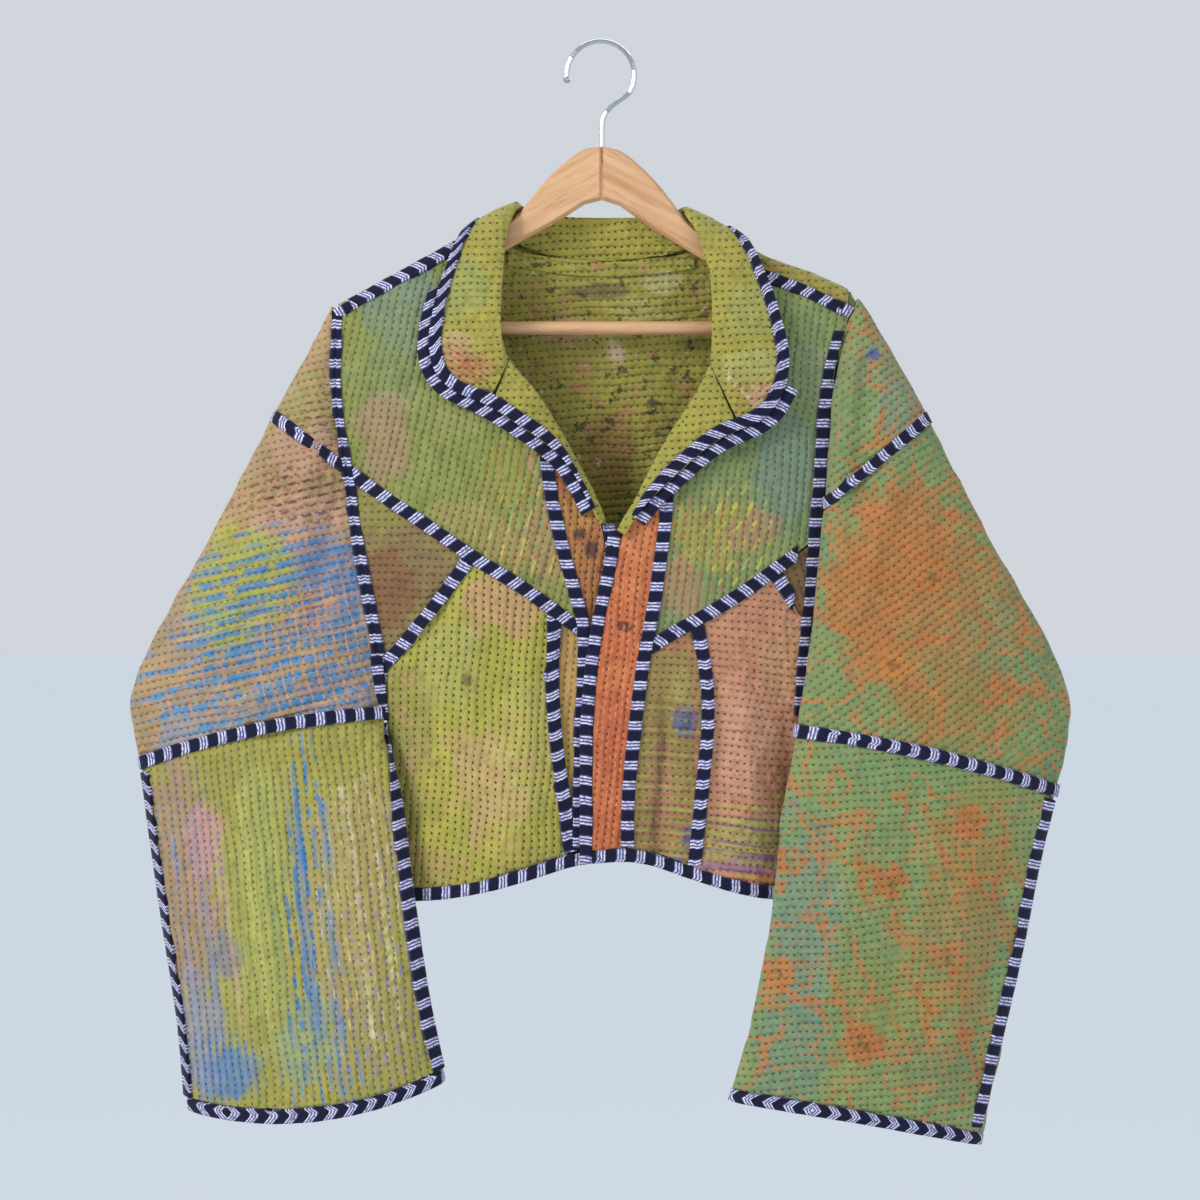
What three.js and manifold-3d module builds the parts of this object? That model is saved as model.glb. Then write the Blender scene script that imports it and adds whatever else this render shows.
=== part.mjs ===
// A short quilted jacket with a turned down collar, bound seams and wide sleeves, hanging flat on a
// wooden hanger. Millimetres, +X to the right as seen from the front, +Y to the back, +Z up. The
// origin is the inside of the top of the hook, where the hanger rests on whatever holds it.
import * as THREE from 'three';
import { mergeVertices } from 'three/addons/utils/BufferGeometryUtils.js';
import Module from 'manifold-3d';

const wasm = await Module();
wasm.setup();

// Cloth and trim
const WALL = 2.2;
const SEAM_GAP = 0.3;
const PANEL_INSET = 0.25;
const BINDING_WIDTH = 10;
const BINDING_THICKNESS = 1.1;
const BINDING_CLEARANCE = 0.85;
const EDGE_THICKNESS = 4.2;
const HEM_WIDTH = 10;
const HEM_GAP = 0.8;
const TAPE_WIDTH = 9;

// The fold of cloth along the top of the shoulders
const RIDGE_RADIUS = 8;
const RIDGE_REACH = 40;
const SIDE_REACH = 95;
const OVERLAP_DEPTH = 6.4;
const OVERLAP = { from: -62, to: -24 };

// Mesh spacing
const PANEL_STEP = 25;
const STRIP_STEP = 21;

// Hanger
const WOOD_THICKNESS = 12;
const BAR_DIAMETER = 11;
const BAR_Z = -228.4;
const BAR_HALF_LENGTH = 179.2;
const WIRE_DIAMETER = 4;
const HOOK_RADIUS = 25.5;
const HOOK_CENTRE = { x: -1.2, z: -23.5 };

const COLOURS = {
  sage: 0x8f9a52, olive: 0xa9a648, straw: 0xb3a04a, rose: 0xc08f6a, brown: 0x8c6a45, orange: 0xc98250,
  blue: 0x7f93a6, green: 0x8a9a5c, binding: 0x15163a, wood: 0xd9a876, wire: 0xb9bcc0,
};

const clamp = (value, low, high) => Math.min(high, Math.max(low, value));
const lerp = (a, b, t) => a + (b - a) * t;
const smooth = (t) => { const c = clamp(t, 0, 1); return c * c * (3 - 2 * c); };
const vector = (x, y, z) => new THREE.Vector3(x, y, z);

// Reads a table of rows at any value of its key column, by a smooth curve that never overshoots.
function table(rows, key) {
  const sorted = [...rows].sort((a, b) => a[key] - b[key]);
  const at = sorted.map((row) => row[key]);
  const names = Object.keys(sorted[0]).filter((name) => typeof sorted[0][name] === 'number');
  const slopes = {};
  for (const name of names) {
    const secant = at.slice(1).map((_, i) => (sorted[i + 1][name] - sorted[i][name]) / (at[i + 1] - at[i]));
    slopes[name] = sorted.map((_, i) => {
      if (i === 0) return secant[0];
      if (i === at.length - 1) return secant[i - 1];
      const before = secant[i - 1];
      const after = secant[i];
      return before * after <= 0 ? 0 : (2 * before * after) / (before + after);
    });
  }
  return (value) => {
    const v = clamp(value, at[0], at[at.length - 1]);
    let i = 0;
    while (i < at.length - 2 && v > at[i + 1]) i += 1;
    const span = at[i + 1] - at[i];
    const s = (v - at[i]) / span;
    const out = {};
    for (const name of names) {
      const [p, q] = [sorted[i][name], sorted[i + 1][name]];
      const [m, n] = [slopes[name][i] * span, slopes[name][i + 1] * span];
      out[name] = p * (1 + 2 * s) * (1 - s) ** 2 + m * s * (1 - s) ** 2 + q * s * s * (3 - 2 * s) + n * s * s * (s - 1);
    }
    return out;
  };
}

// A line on the cloth in the plane of the front view, with points read off by distance.
class Line {
  constructor(points) {
    this.points = points;
    this.distances = [0];
    for (let i = 1; i < points.length; i += 1) {
      const step = Math.hypot(points[i].x - points[i - 1].x, points[i].z - points[i - 1].z);
      this.distances.push(this.distances[i - 1] + step);
    }
    this.length = this.distances[points.length - 1];
  }

  static through(rows) {
    if (rows.length === 2) return new Line(rows);
    const curve = new THREE.CatmullRomCurve3(rows.map(({ x, z }) => vector(x, 0, z)), false, 'centripetal');
    return new Line(curve.getPoints((rows.length - 1) * 10).map(({ x, z }) => ({ x, z })));
  }

  at(distance) {
    const d = clamp(distance, 0, this.length);
    let i = 1;
    while (i < this.points.length - 1 && this.distances[i] < d) i += 1;
    const t = (d - this.distances[i - 1]) / (this.distances[i] - this.distances[i - 1]);
    const [a, b] = [this.points[i - 1], this.points[i]];
    return { x: lerp(a.x, b.x, t), z: lerp(a.z, b.z, t) };
  }

  nearest(point) {
    let best = 0;
    let least = Infinity;
    for (let i = 1; i < this.points.length; i += 1) {
      const [a, b] = [this.points[i - 1], this.points[i]];
      const length = this.distances[i] - this.distances[i - 1];
      const along = ((point.x - a.x) * (b.x - a.x) + (point.z - a.z) * (b.z - a.z)) / length;
      const t = clamp(along / length, 0, 1);
      const gap = Math.hypot(point.x - lerp(a.x, b.x, t), point.z - lerp(a.z, b.z, t));
      if (gap < least) {
        least = gap;
        best = this.distances[i - 1] + t * length;
      }
    }
    return best;
  }

  // The stretch from one point to another, in that order.
  between(from, to) {
    const [start, end] = [this.nearest(from), this.nearest(to)];
    const low = Math.min(start, end);
    const high = Math.max(start, end);
    const inner = this.points.filter((_, i) => this.distances[i] > low + 0.5 && this.distances[i] < high - 0.5);
    const points = [this.at(low), ...inner, this.at(high)];
    return new Line(start <= end ? points : points.reverse());
  }

  first() { return this.points[0]; }

  last() { return this.points[this.points.length - 1]; }
}

// Sleeve sections from the shoulder tip (t = 0) to the cuff (t = 9). The cap seam is at 2, the corner
// of the outer fold at 4 and the elbow seam at 5. Each row gives the inner and outer folds (ix, iz,
// iy and ox, oz, oy), the depth in front of and behind the line between them, how far behind the
// inner fold the seams lie (seamFront, seamBack), how far the middle rises, how far the back layer
// drops, and how far in front of the outer fold the outer seam lies.
const CAP_SEAM = 2;
const CORNER = 4;
const ELBOW = 5;
const CUFF = 9;
const SLEEVE_ROUNDNESS = 2;
const SLEEVE_ROWS = {
  l: [
    { t: 0, ix: -214.5, iz: -218, ox: -217.5, oz: -211, iy: 0, oy: 0, front: 8, back: 8,
      seamFront: -7.9, seamBack: 7.9, rise: 0, drop: 0, outerSeam: 5 },
    { t: 1, ix: -215.5, iz: -276, ox: -241, oz: -255, iy: 0, oy: -1, front: 16, back: 15,
      seamFront: -12, seamBack: 12, rise: 0, drop: 0, outerSeam: 5 },
    { t: 2, ix: -206, iz: -343.5, ox: -264.5, oz: -300, iy: 0, oy: -2, front: 20, back: 18,
      seamFront: -14, seamBack: 14, rise: 0, drop: 0, outerSeam: 5 },
    { t: 3, ix: -196.5, iz: -404, ox: -314, oz: -394, iy: -2, oy: -4, front: 24, back: 20,
      seamFront: -14, seamBack: 14, rise: 3, drop: 0, outerSeam: 5 },
    { t: 4, ix: -181, iz: -490, ox: -381.5, oz: -529, iy: -7, oy: -6, front: 26, back: 21,
      seamFront: -8, seamBack: 11, rise: 8, drop: 0, outerSeam: 5 },
    { t: 5, ix: -176.5, iz: -539.5, ox: -371.5, oz: -580, iy: -12, oy: -6, front: 25, back: 21,
      seamFront: 8, seamBack: 8, rise: 9, drop: 0, outerSeam: 5 },
    { t: 6, ix: -161.5, iz: -612, ox: -362, oz: -647, iy: -24, oy: -7, front: 23, back: 20,
      seamFront: -6, seamBack: -6, rise: 3, drop: 0, outerSeam: 5 },
    { t: 7, ix: -151, iz: -688, ox: -351.5, oz: -718, iy: -35, oy: -8, front: 22, back: 19,
      seamFront: -6, seamBack: -6, rise: -4, drop: 0, outerSeam: 5 },
    { t: 8, ix: -139, iz: -766, ox: -340, oz: -791, iy: -36, oy: -9, front: 22, back: 19,
      seamFront: -6, seamBack: -6, rise: -12, drop: 0, outerSeam: 5 },
    { t: 9, ix: -125, iz: -833, ox: -334, oz: -859, iy: -32, oy: -10, front: 23, back: 20,
      seamFront: -6, seamBack: -6, rise: -18, drop: 0, outerSeam: 5 },
  ],
  r: [
    { t: 0, ix: 201.5, iz: -219, ox: 206.5, oz: -205, iy: 0, oy: 0, front: 8.5, back: 8.5,
      seamFront: -8.4, seamBack: 8.4, rise: 0, drop: 0, outerSeam: 8 },
    { t: 1, ix: 188, iz: -273, ox: 238, oz: -255, iy: -17, oy: -6, front: 17, back: 30,
      seamFront: 4, seamBack: 29, rise: 0, drop: 0, outerSeam: 8 },
    { t: 2, ix: 179.5, iz: -372, ox: 261.5, oz: -302, iy: -25, oy: -10, front: 20, back: 39,
      seamFront: 10, seamBack: 38, rise: 0, drop: 0, outerSeam: 8 },
    { t: 3, ix: 173, iz: -436, ox: 314, oz: -405, iy: -30, oy: -12, front: 22, back: 43,
      seamFront: 14, seamBack: 42, rise: 2, drop: 0, outerSeam: 8 },
    { t: 4, ix: 163.5, iz: -503, ox: 378, oz: -530, iy: -35, oy: -14, front: 24, back: 41,
      seamFront: 17, seamBack: 36, rise: 6, drop: 0, outerSeam: 5 },
    { t: 5, ix: 155.5, iz: -553, ox: 364.5, oz: -602, iy: -40, oy: -16, front: 24, back: 34,
      seamFront: 20, seamBack: 20, rise: 7, drop: 0, outerSeam: 8 },
    { t: 6, ix: 142.5, iz: -626, ox: 352, oz: -655, iy: -44, oy: -16, front: 23, back: 27,
      seamFront: 16, seamBack: 16, rise: 5, drop: 0, outerSeam: 9 },
    { t: 7, ix: 135, iz: -700, ox: 338, oz: -730, iy: -48, oy: -16, front: 22, back: 23,
      seamFront: 14, seamBack: 14, rise: 4, drop: 1, outerSeam: 10 },
    { t: 8, ix: 118.5, iz: -785, ox: 321, oz: -805, iy: -47, oy: -18, front: 21, back: 21,
      seamFront: 12, seamBack: 12, rise: 3, drop: 3, outerSeam: 11 },
    { t: 9, ix: 101, iz: -847, ox: 303.5, oz: -886, iy: -44, oy: -20, front: 21, back: 21,
      seamFront: 12, seamBack: 12, rise: 3, drop: 6, outerSeam: 13 },
  ],
};
const SLEEVE_TABLES = { l: table(SLEEVE_ROWS.l, 't'), r: table(SLEEVE_ROWS.r, 't') };
const RING_SAMPLES = 120;
const ringCache = new Map();

// One section of a sleeve, as a curve from its front seam round the folds to its back seam.
function sleeveRing(side, t) {
  const key = `${side}${t.toFixed(4)}`;
  if (ringCache.has(key)) return ringCache.get(key);
  const row = SLEEVE_TABLES[side](t);
  const power = 2 / SLEEVE_ROUNDNESS;
  const angleOf = (offset) => {
    const depth = offset < 0 ? row.front : row.back;
    return -Math.sign(offset) * Math.asin(clamp(Math.abs(offset) / depth, 0, 1) ** (1 / power));
  };
  const across = (angle) => (1 - Math.sign(Math.cos(angle)) * Math.abs(Math.cos(angle)) ** power) / 2;
  const start = angleOf(row.seamFront);
  const end = 2 * Math.PI + angleOf(row.seamBack);
  const open = t < ELBOW;
  const points = [];
  for (let k = 0; k <= RING_SAMPLES; k += 1) {
    const front = k <= RING_SAMPLES / 2;
    const part = front ? k / (RING_SAMPLES / 2) : (k - RING_SAMPLES / 2) / (RING_SAMPLES / 2);
    const angle = front ? lerp(start, Math.PI, part) : lerp(Math.PI, end, part);
    let u = across(angle);
    if (open && front && start > 0) u = (u - across(start)) / (1 - across(start));
    if (open && !front) {
      const base = start < 0 ? across(start) : 0;
      u = base + ((u - across(end)) / (1 - across(end))) * (1 - base);
    }
    const sine = Math.sin(angle);
    const depth = sine > 0 ? -row.front : row.back;
    const bow = row.rise * (1 - (2 * u - 1) ** 2);
    const drop = sine < 0 ? row.drop * u * Math.abs(sine) : 0;
    points.push(vector(
      lerp(row.ix, row.ox, u),
      lerp(row.iy, row.oy, u) + depth * Math.abs(sine) ** power,
      lerp(row.iz, row.oz, u) + bow - drop,
    ));
  }
  const distances = [0];
  for (let i = 1; i < points.length; i += 1) distances.push(distances[i - 1] + points[i].distanceTo(points[i - 1]));
  const ring = {
    length: distances[RING_SAMPLES],
    inner: start < 0 ? distances[Math.round((-start / (Math.PI - start)) * (RING_SAMPLES / 2))] : 0,
    outer: distances[RING_SAMPLES / 2],
    seam: distances[RING_SAMPLES / 2] - row.outerSeam,
    closed: !open,
    at(distance) {
      let d = distance;
      if (this.closed) d = ((d % this.length) + this.length) % this.length;
      d = clamp(d, 0, this.length);
      let i = 1;
      while (i < RING_SAMPLES && distances[i] < d) i += 1;
      return points[i - 1].clone().lerp(points[i], (d - distances[i - 1]) / (distances[i] - distances[i - 1]));
    },
  };
  ringCache.set(key, ring);
  return ring;
}

// Normal of a surface of two parameters, pointing out of the cloth.
function normalAt(surface, u, v, du, dv, sign) {
  const alongU = surface(u + du, v).sub(surface(u - du, v));
  const alongV = surface(u, v + dv).sub(surface(u, v - dv));
  return alongU.cross(alongV).normalize().multiplyScalar(sign);
}

// A point of a sleeve and its outward normal, at a share of the way round from the front seam.
const OUTWARD = { l: -1, r: 1 };
function sleeveAt(side, t, distance) {
  const share = distance / sleeveRing(side, t).length;
  const surface = (a, f) => {
    const ring = sleeveRing(side, clamp(a, 0, CUFF));
    return ring.at(f * ring.length);
  };
  const point = surface(t, share);
  const inside = clamp(share, 0.002, 0.998);
  return { point, normal: normalAt(surface, clamp(t, 0.02, CUFF - 0.02), inside, 0.02, 0.002, OUTWARD[side]) };
}

// Seams of the body, read from the sleeve sections: the front and back edges of each armhole.
const ARMHOLE_SAMPLES = 40;
const SIDE_INSET = 2.9;
const BACK_SLANT = 1.3;
function armhole(side, face) {
  return Array.from({ length: ARMHOLE_SAMPLES + 1 }, (_, i) => {
    const t = Math.min((i / ARMHOLE_SAMPLES) * ELBOW, ELBOW - 1e-6);
    const { point, normal } = sleeveAt(side, t, face === 'front' ? 0 : sleeveRing(side, t).length);
    const across = Math.max(Math.abs(normal.x), 0.3);
    const overhang = Math.max(0, face === 'front' ? normal.y : -normal.y) / across;
    const closing = smooth(t - CORNER) * (SIDE_INSET - WALL / 2 - SEAM_GAP);
    const slant = face === 'back' ? BACK_SLANT : 0;
    const inset = (across * WALL) / 2 + SEAM_GAP + 0.2 + closing + overhang * WALL * 1.1 + slant;
    return { x: point.x, y: point.y, z: point.z, inset, overhang };
  });
}
const ARMHOLES = {
  l: { front: armhole('l', 'front'), back: armhole('l', 'back') },
  r: { front: armhole('r', 'front'), back: armhole('r', 'back') },
};
const SIDE_SEAMS = {
  l: [{ x: -171.5, y: 0, z: -564 }, { x: -175.5, y: 4, z: -605 }, { x: -189, y: 4, z: -695 }],
  r: [{ x: 165, y: -13, z: -578 }, { x: 172, y: -4, z: -625 }, { x: 184, y: 0, z: -695 }],
};
for (const rows of Object.values(SIDE_SEAMS)) rows.forEach((row) => { row.inset = SIDE_INSET; });
const HEM_SEAM = { l: SIDE_SEAMS.l.at(-1), r: SIDE_SEAMS.r.at(-1) };
// Where the cloth stops beside an armhole or a side seam.
const drawnBack = (side, { x, z, inset }) => ({ x: x - OUTWARD[side] * inset, z });

// The body's edge on one side and face, as a place and a depth at each height.
function bodyEdge(side, face) {
  const rows = [...ARMHOLES[side][face], ...SIDE_SEAMS[side]];
  return (z) => {
    if (z >= rows[0].z) return rows[0];
    let i = 1;
    while (i < rows.length - 1 && rows[i].z > z) i += 1;
    const t = clamp((z - rows[i - 1].z) / (rows[i].z - rows[i - 1].z), 0, 1);
    return { x: lerp(rows[i - 1].x, rows[i].x, t), y: lerp(rows[i - 1].y, rows[i].y, t) };
  };
}
const BODY_EDGES = {
  front: { l: bodyEdge('l', 'front'), r: bodyEdge('r', 'front') },
  back: { l: bodyEdge('l', 'back'), r: bodyEdge('r', 'back') },
};

// Height of the shoulder fold, as the middle of the cloth, and of the hem's lower edge.
const ridge = table([
  { x: -222, z: -215.2 }, { x: -107, z: -151.7 }, { x: -84, z: -139.5 }, { x: -40, z: -131 },
  { x: 0, z: -130 }, { x: 40, z: -133 }, { x: 84, z: -144.5 }, { x: 126.4, z: -168.5 },
  { x: 149, z: -175.7 }, { x: 174, z: -184.9 }, { x: 196.8, z: -196.3 }, { x: 212, z: -209 },
], 'x');
const hem = table([
  { x: -192, z: -692 }, { x: -152, z: -691 }, { x: -102, z: -684.5 }, { x: -51, z: -670.5 },
  { x: -14, z: -660 }, { x: 24, z: -657.5 }, { x: 39, z: -660.5 }, { x: 52, z: -665.5 },
  { x: 90, z: -678 }, { x: 133, z: -688.5 }, { x: 188, z: -692 },
], 'x');
const backHem = table([{ x: -192, z: -692 }, { x: -80, z: -676 }, { x: 0, z: -655 }, { x: 80, z: -676 },
  { x: 188, z: -692 }], 'x');

// How far the middle of each face stands from the plane of the hanger.
const fullness = table([
  { z: -150, front: 8, back: 8 }, { z: -200, front: 18, back: 15 }, { z: -260, front: 27, back: 22 },
  { z: -340, front: 32, back: 28 }, { z: -450, front: 36, back: 32 }, { z: -560, front: 37, back: 33 },
  { z: -700, front: 34, back: 29 },
], 'z');

// Soft folds of each face, each along a line, with its half width and how far it stands out.
const FOLDS = {
  front: [
    { x0: -122, z0: -540, x1: -116, z1: -690, width: 24, height: -4 },
    { x0: -150, z0: -600, x1: -156, z1: -700, width: 24, height: 3 },
    { x0: -66, z0: -560, x1: -60, z1: -690, width: 26, height: 3 },
    { x0: 56, z0: -560, x1: 51, z1: -690, width: 17, height: -6 },
    { x0: 112, z0: -560, x1: 118, z1: -690, width: 26, height: 3 },
    { x0: -150, z0: -250, x1: -120, z1: -330, width: 30, height: -3 },
    { x0: 140, z0: -300, x1: 120, z1: -380, width: 30, height: -3 },
  ],
  back: [
    { x0: -90, z0: -330, x1: -104, z1: -690, width: 30, height: -5 },
    { x0: -20, z0: -420, x1: -12, z1: -690, width: 32, height: 4 },
    { x0: 70, z0: -300, x1: 92, z1: -690, width: 30, height: -5 },
  ],
};

function foldDepth(face, x, z) {
  return FOLDS[face].reduce((sum, { x0, z0, x1, z1, width, height }) => {
    const [dx, dz] = [x1 - x0, z1 - z0];
    const t = clamp(((x - x0) * dx + (z - z0) * dz) / (dx * dx + dz * dz), 0, 1);
    const gap = Math.hypot(x - lerp(x0, x1, t), z - lerp(z0, z1, t));
    return sum + height * Math.exp(-((gap / width) ** 2)) * smooth(t * 1.6 + 0.2);
  }, 0);
}

// Distance of the cloth from the plane of the hanger.
function bodyDepth(face, x, z) {
  const left = BODY_EDGES[face].l(z);
  const right = BODY_EDGES[face].r(z);
  const outward = face === 'front' ? -1 : 1;
  const share = clamp((x - left.x) / (right.x - left.x), 0, 1);
  const atEdge = lerp(left.y, right.y, share) * outward;
  const below = ridge(x).z - z;
  const arc = Math.sqrt(Math.max(0, RIDGE_RADIUS ** 2 - (RIDGE_RADIUS - clamp(below, 0, RIDGE_RADIUS)) ** 2));
  const fromSide = clamp(Math.min(x - left.x, right.x - x) / SIDE_REACH, 0, 1);
  const fill = Math.sin((fromSide * Math.PI) / 2) * smooth(below / RIDGE_REACH);
  return arc + atEdge - RIDGE_RADIUS + (fullness(z)[face] - atEdge) * fill + foldDepth(face, x, z) * fill;
}

// The fronts: the right one lies over the left one at the middle.
function frontPoint(side, x, z) {
  const under = side === 'l' ? OVERLAP_DEPTH * smooth((x - OVERLAP.from) / (OVERLAP.to - OVERLAP.from)) : 0;
  return vector(x, under - bodyDepth('front', x, z), z);
}

// Offset direction of a front: straight out, scaled so that the wall keeps its thickness on a slope.
function frontNormal(side, x, z) {
  const slopeX = (frontPoint(side, x + 1, z).y - frontPoint(side, x - 1, z).y) / 2;
  const slopeZ = (frontPoint(side, x, z + 1).y - frontPoint(side, x, z - 1).y) / 2;
  return vector(0, -clamp(Math.sqrt(1 + slopeX ** 2 + slopeZ ** 2), 1, 1.5), 0);
}

// The back, which runs over the shoulder fold: w is the distance along the cloth from the fold,
// negative down the front side of it.
const QUARTER = (RIDGE_RADIUS * Math.PI) / 2;
const reachOf = (below) => (below < RIDGE_RADIUS
  ? RIDGE_RADIUS * Math.acos((RIDGE_RADIUS - Math.max(below, 0)) / RIDGE_RADIUS)
  : below - RIDGE_RADIUS + QUARTER);
function backPoint(x, w) {
  const face = w < 0 ? 'front' : 'back';
  const reach = Math.abs(w);
  const below = reach < QUARTER ? RIDGE_RADIUS * (1 - Math.cos(reach / RIDGE_RADIUS)) : reach - QUARTER + RIDGE_RADIUS;
  const z = ridge(x).z - below;
  return vector(x, Math.sign(w) * bodyDepth(face, x, z), z);
}
const backNormal = (x, w) => normalAt(backPoint, x, w, 0.5, 0.5, 1);

// Closed solid between two offsets of a grid of points, each moved along its own normal.
function slab(points, normals, low, high) {
  const rows = points.length;
  const columns = points[0].length;
  const positions = [];
  for (const offset of [low, high]) {
    points.forEach((line, i) => line.forEach((point, j) => {
      const moved = point.clone().addScaledVector(normals[i][j], offset);
      positions.push(moved.x, moved.y, moved.z);
    }));
  }
  const index = [];
  const id = (layer, i, j) => layer * rows * columns + i * columns + j;
  const quad = (a, b, c, d) => index.push(a, b, c, a, c, d);
  for (let i = 0; i < rows - 1; i += 1) {
    for (let j = 0; j < columns - 1; j += 1) {
      quad(id(0, i, j), id(0, i, j + 1), id(0, i + 1, j + 1), id(0, i + 1, j));
      quad(id(1, i, j), id(1, i + 1, j), id(1, i + 1, j + 1), id(1, i, j + 1));
    }
  }
  for (let i = 0; i < rows - 1; i += 1) {
    quad(id(0, i, 0), id(0, i + 1, 0), id(1, i + 1, 0), id(1, i, 0));
    quad(id(0, i + 1, columns - 1), id(0, i, columns - 1), id(1, i, columns - 1), id(1, i + 1, columns - 1));
  }
  for (let j = 0; j < columns - 1; j += 1) {
    quad(id(0, 0, j + 1), id(0, 0, j), id(1, 0, j), id(1, 0, j + 1));
    quad(id(0, rows - 1, j), id(0, rows - 1, j + 1), id(1, rows - 1, j + 1), id(1, rows - 1, j));
  }
  return facingOut(positions, index);
}

// Builds the geometry, with its triangles turned so that the volume is positive.
function facingOut(positions, index) {
  let volume = 0;
  for (let k = 0; k < index.length; k += 3) {
    const [a, b, c] = [0, 1, 2].map((n) => vector().fromArray(positions, index[k + n] * 3));
    volume += a.dot(b.cross(c));
  }
  if (volume < 0) for (let k = 0; k < index.length; k += 3) [index[k], index[k + 1]] = [index[k + 1], index[k]];
  const geometry = new THREE.BufferGeometry();
  geometry.setAttribute('position', new THREE.Float32BufferAttribute(positions, 3));
  geometry.setIndex(index);
  return geometry;
}

function toManifold(geometry) {
  const plain = geometry.clone();
  plain.deleteAttribute('normal');
  plain.deleteAttribute('uv');
  const merged = mergeVertices(plain, 1e-4);
  return new wasm.Manifold(new wasm.Mesh({
    numProp: 3,
    vertProperties: new Float32Array(merged.attributes.position.array),
    triVerts: new Uint32Array(merged.index.array),
  }));
}

function fromManifold(solid) {
  const { vertProperties, triVerts } = solid.getMesh();
  const geometry = new THREE.BufferGeometry();
  geometry.setAttribute('position', new THREE.Float32BufferAttribute(vertProperties, 3));
  geometry.setIndex([...triVerts]);
  return geometry;
}

// Cuts pieces away and keeps the largest body that is left.
function cutAway(geometry, cutters) {
  let solid = toManifold(geometry);
  for (const cutter of cutters) solid = solid.subtract(toManifold(cutter));
  const bodies = solid.decompose();
  bodies.sort((a, b) => b.volume() - a.volume());
  return fromManifold(bodies[0]);
}

// Splits a chain of lines into a number of steps, with a point at each of its corners.
function chainPoints(lines, steps) {
  const total = lines.reduce((sum, line) => sum + line.length, 0);
  const counts = lines.map((line) => Math.max(1, Math.round((line.length / total) * steps)));
  const longest = counts.indexOf(Math.max(...counts));
  counts[longest] += steps - counts.reduce((sum, count) => sum + count, 0);
  const points = [lines[0].first()];
  lines.forEach((line, k) => {
    for (let i = 1; i <= counts[k]; i += 1) points.push(line.at((line.length * i) / counts[k]));
  });
  return points;
}

// A panel's points in the plane of the front view, blended between its four edges and drawn in at
// each edge by half of the seam gap. Top and bottom run left to right, left and right run down.
function panelGrid({ top, bottom, left, right, step = PANEL_STEP, extra = [] }) {
  const longest = (a, b) => Math.max(...[a, b].map((chain) => chain.reduce((sum, line) => sum + line.length, 0)));
  const across = Math.max(2, Math.ceil(longest(top, bottom) / step));
  const down = Math.max(2, Math.ceil(longest(left, right) / step));
  const [t, b] = [chainPoints(top, across), chainPoints(bottom, across)];
  const [l, r] = [chainPoints(left, down), chainPoints(right, down)];
  const grid = [];
  for (let j = 0; j <= down; j += 1) {
    const v = j / down;
    grid.push([]);
    for (let i = 0; i <= across; i += 1) {
      const u = i / across;
      const mix = (key) => (1 - v) * t[i][key] + v * b[i][key] + (1 - u) * l[j][key] + u * r[j][key]
        - (1 - u) * (1 - v) * t[0][key] - u * (1 - v) * t[across][key]
        - (1 - u) * v * b[0][key] - u * v * b[across][key];
      grid[j].push({ x: mix('x'), z: mix('z') });
    }
  }
  for (const share of extra) {
    grid.splice(1, 0, grid[0].map((point, i) => ({
      x: lerp(point.x, grid[1][i].x, share), z: lerp(point.z, grid[1][i].z, share),
    })));
  }
  return drawnIn(grid, PANEL_INSET);
}

function drawnIn(grid, inset) {
  const rows = grid.length;
  const columns = grid[0].length;
  const shift = (line, i, inward) => {
    const a = line[Math.max(i - 1, 0)];
    const b = line[Math.min(i + 1, line.length - 1)];
    const length = Math.hypot(b.x - a.x, b.z - a.z);
    const side = { x: -(b.z - a.z) / length, z: (b.x - a.x) / length };
    const sign = Math.sign(side.x * (inward.x - line[i].x) + side.z * (inward.z - line[i].z));
    return { x: side.x * sign * inset, z: side.z * sign * inset };
  };
  const column = (i) => grid.map((row) => row[i]);
  const moves = grid.map((row) => row.map(() => ({ x: 0, z: 0 })));
  const add = (j, i, move) => {
    moves[j][i].x += move.x;
    moves[j][i].z += move.z;
  };
  for (let i = 0; i < columns; i += 1) {
    add(0, i, shift(grid[0], i, grid[1][i]));
    add(rows - 1, i, shift(grid[rows - 1], i, grid[rows - 2][i]));
  }
  for (let j = 0; j < rows; j += 1) {
    add(j, 0, shift(column(0), j, grid[j][1]));
    add(j, columns - 1, shift(column(columns - 1), j, grid[j][columns - 2]));
  }
  return grid.map((row, j) => row.map((point, i) => ({ x: point.x + moves[j][i].x, z: point.z + moves[j][i].z })));
}

function frontPanel(side, edges) {
  const grid = panelGrid(edges);
  const points = grid.map((row) => row.map(({ x, z }) => frontPoint(side, x, z)));
  const normals = grid.map((row) => row.map(({ x, z }) => frontNormal(side, x, z)));
  return slab(points, normals, -WALL / 2, WALL / 2);
}

// Places along a line for a strip: across gives its sideways offsets at each place.
function stations(line) {
  const count = Math.max(2, Math.ceil(line.length / STRIP_STEP));
  return Array.from({ length: count + 1 }, (_, i) => {
    const d = (line.length * i) / count;
    const [a, b] = [line.at(d - 1), line.at(d + 1)];
    const length = Math.hypot(b.x - a.x, b.z - a.z);
    return { ...line.at(d), side: { x: -(b.z - a.z) / length, z: (b.x - a.x) / length } };
  });
}

const ON_TOP = { low: WALL / 2 + BINDING_CLEARANCE, high: WALL / 2 + BINDING_CLEARANCE + BINDING_THICKNESS };
const HALF = BINDING_WIDTH / 2;

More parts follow.
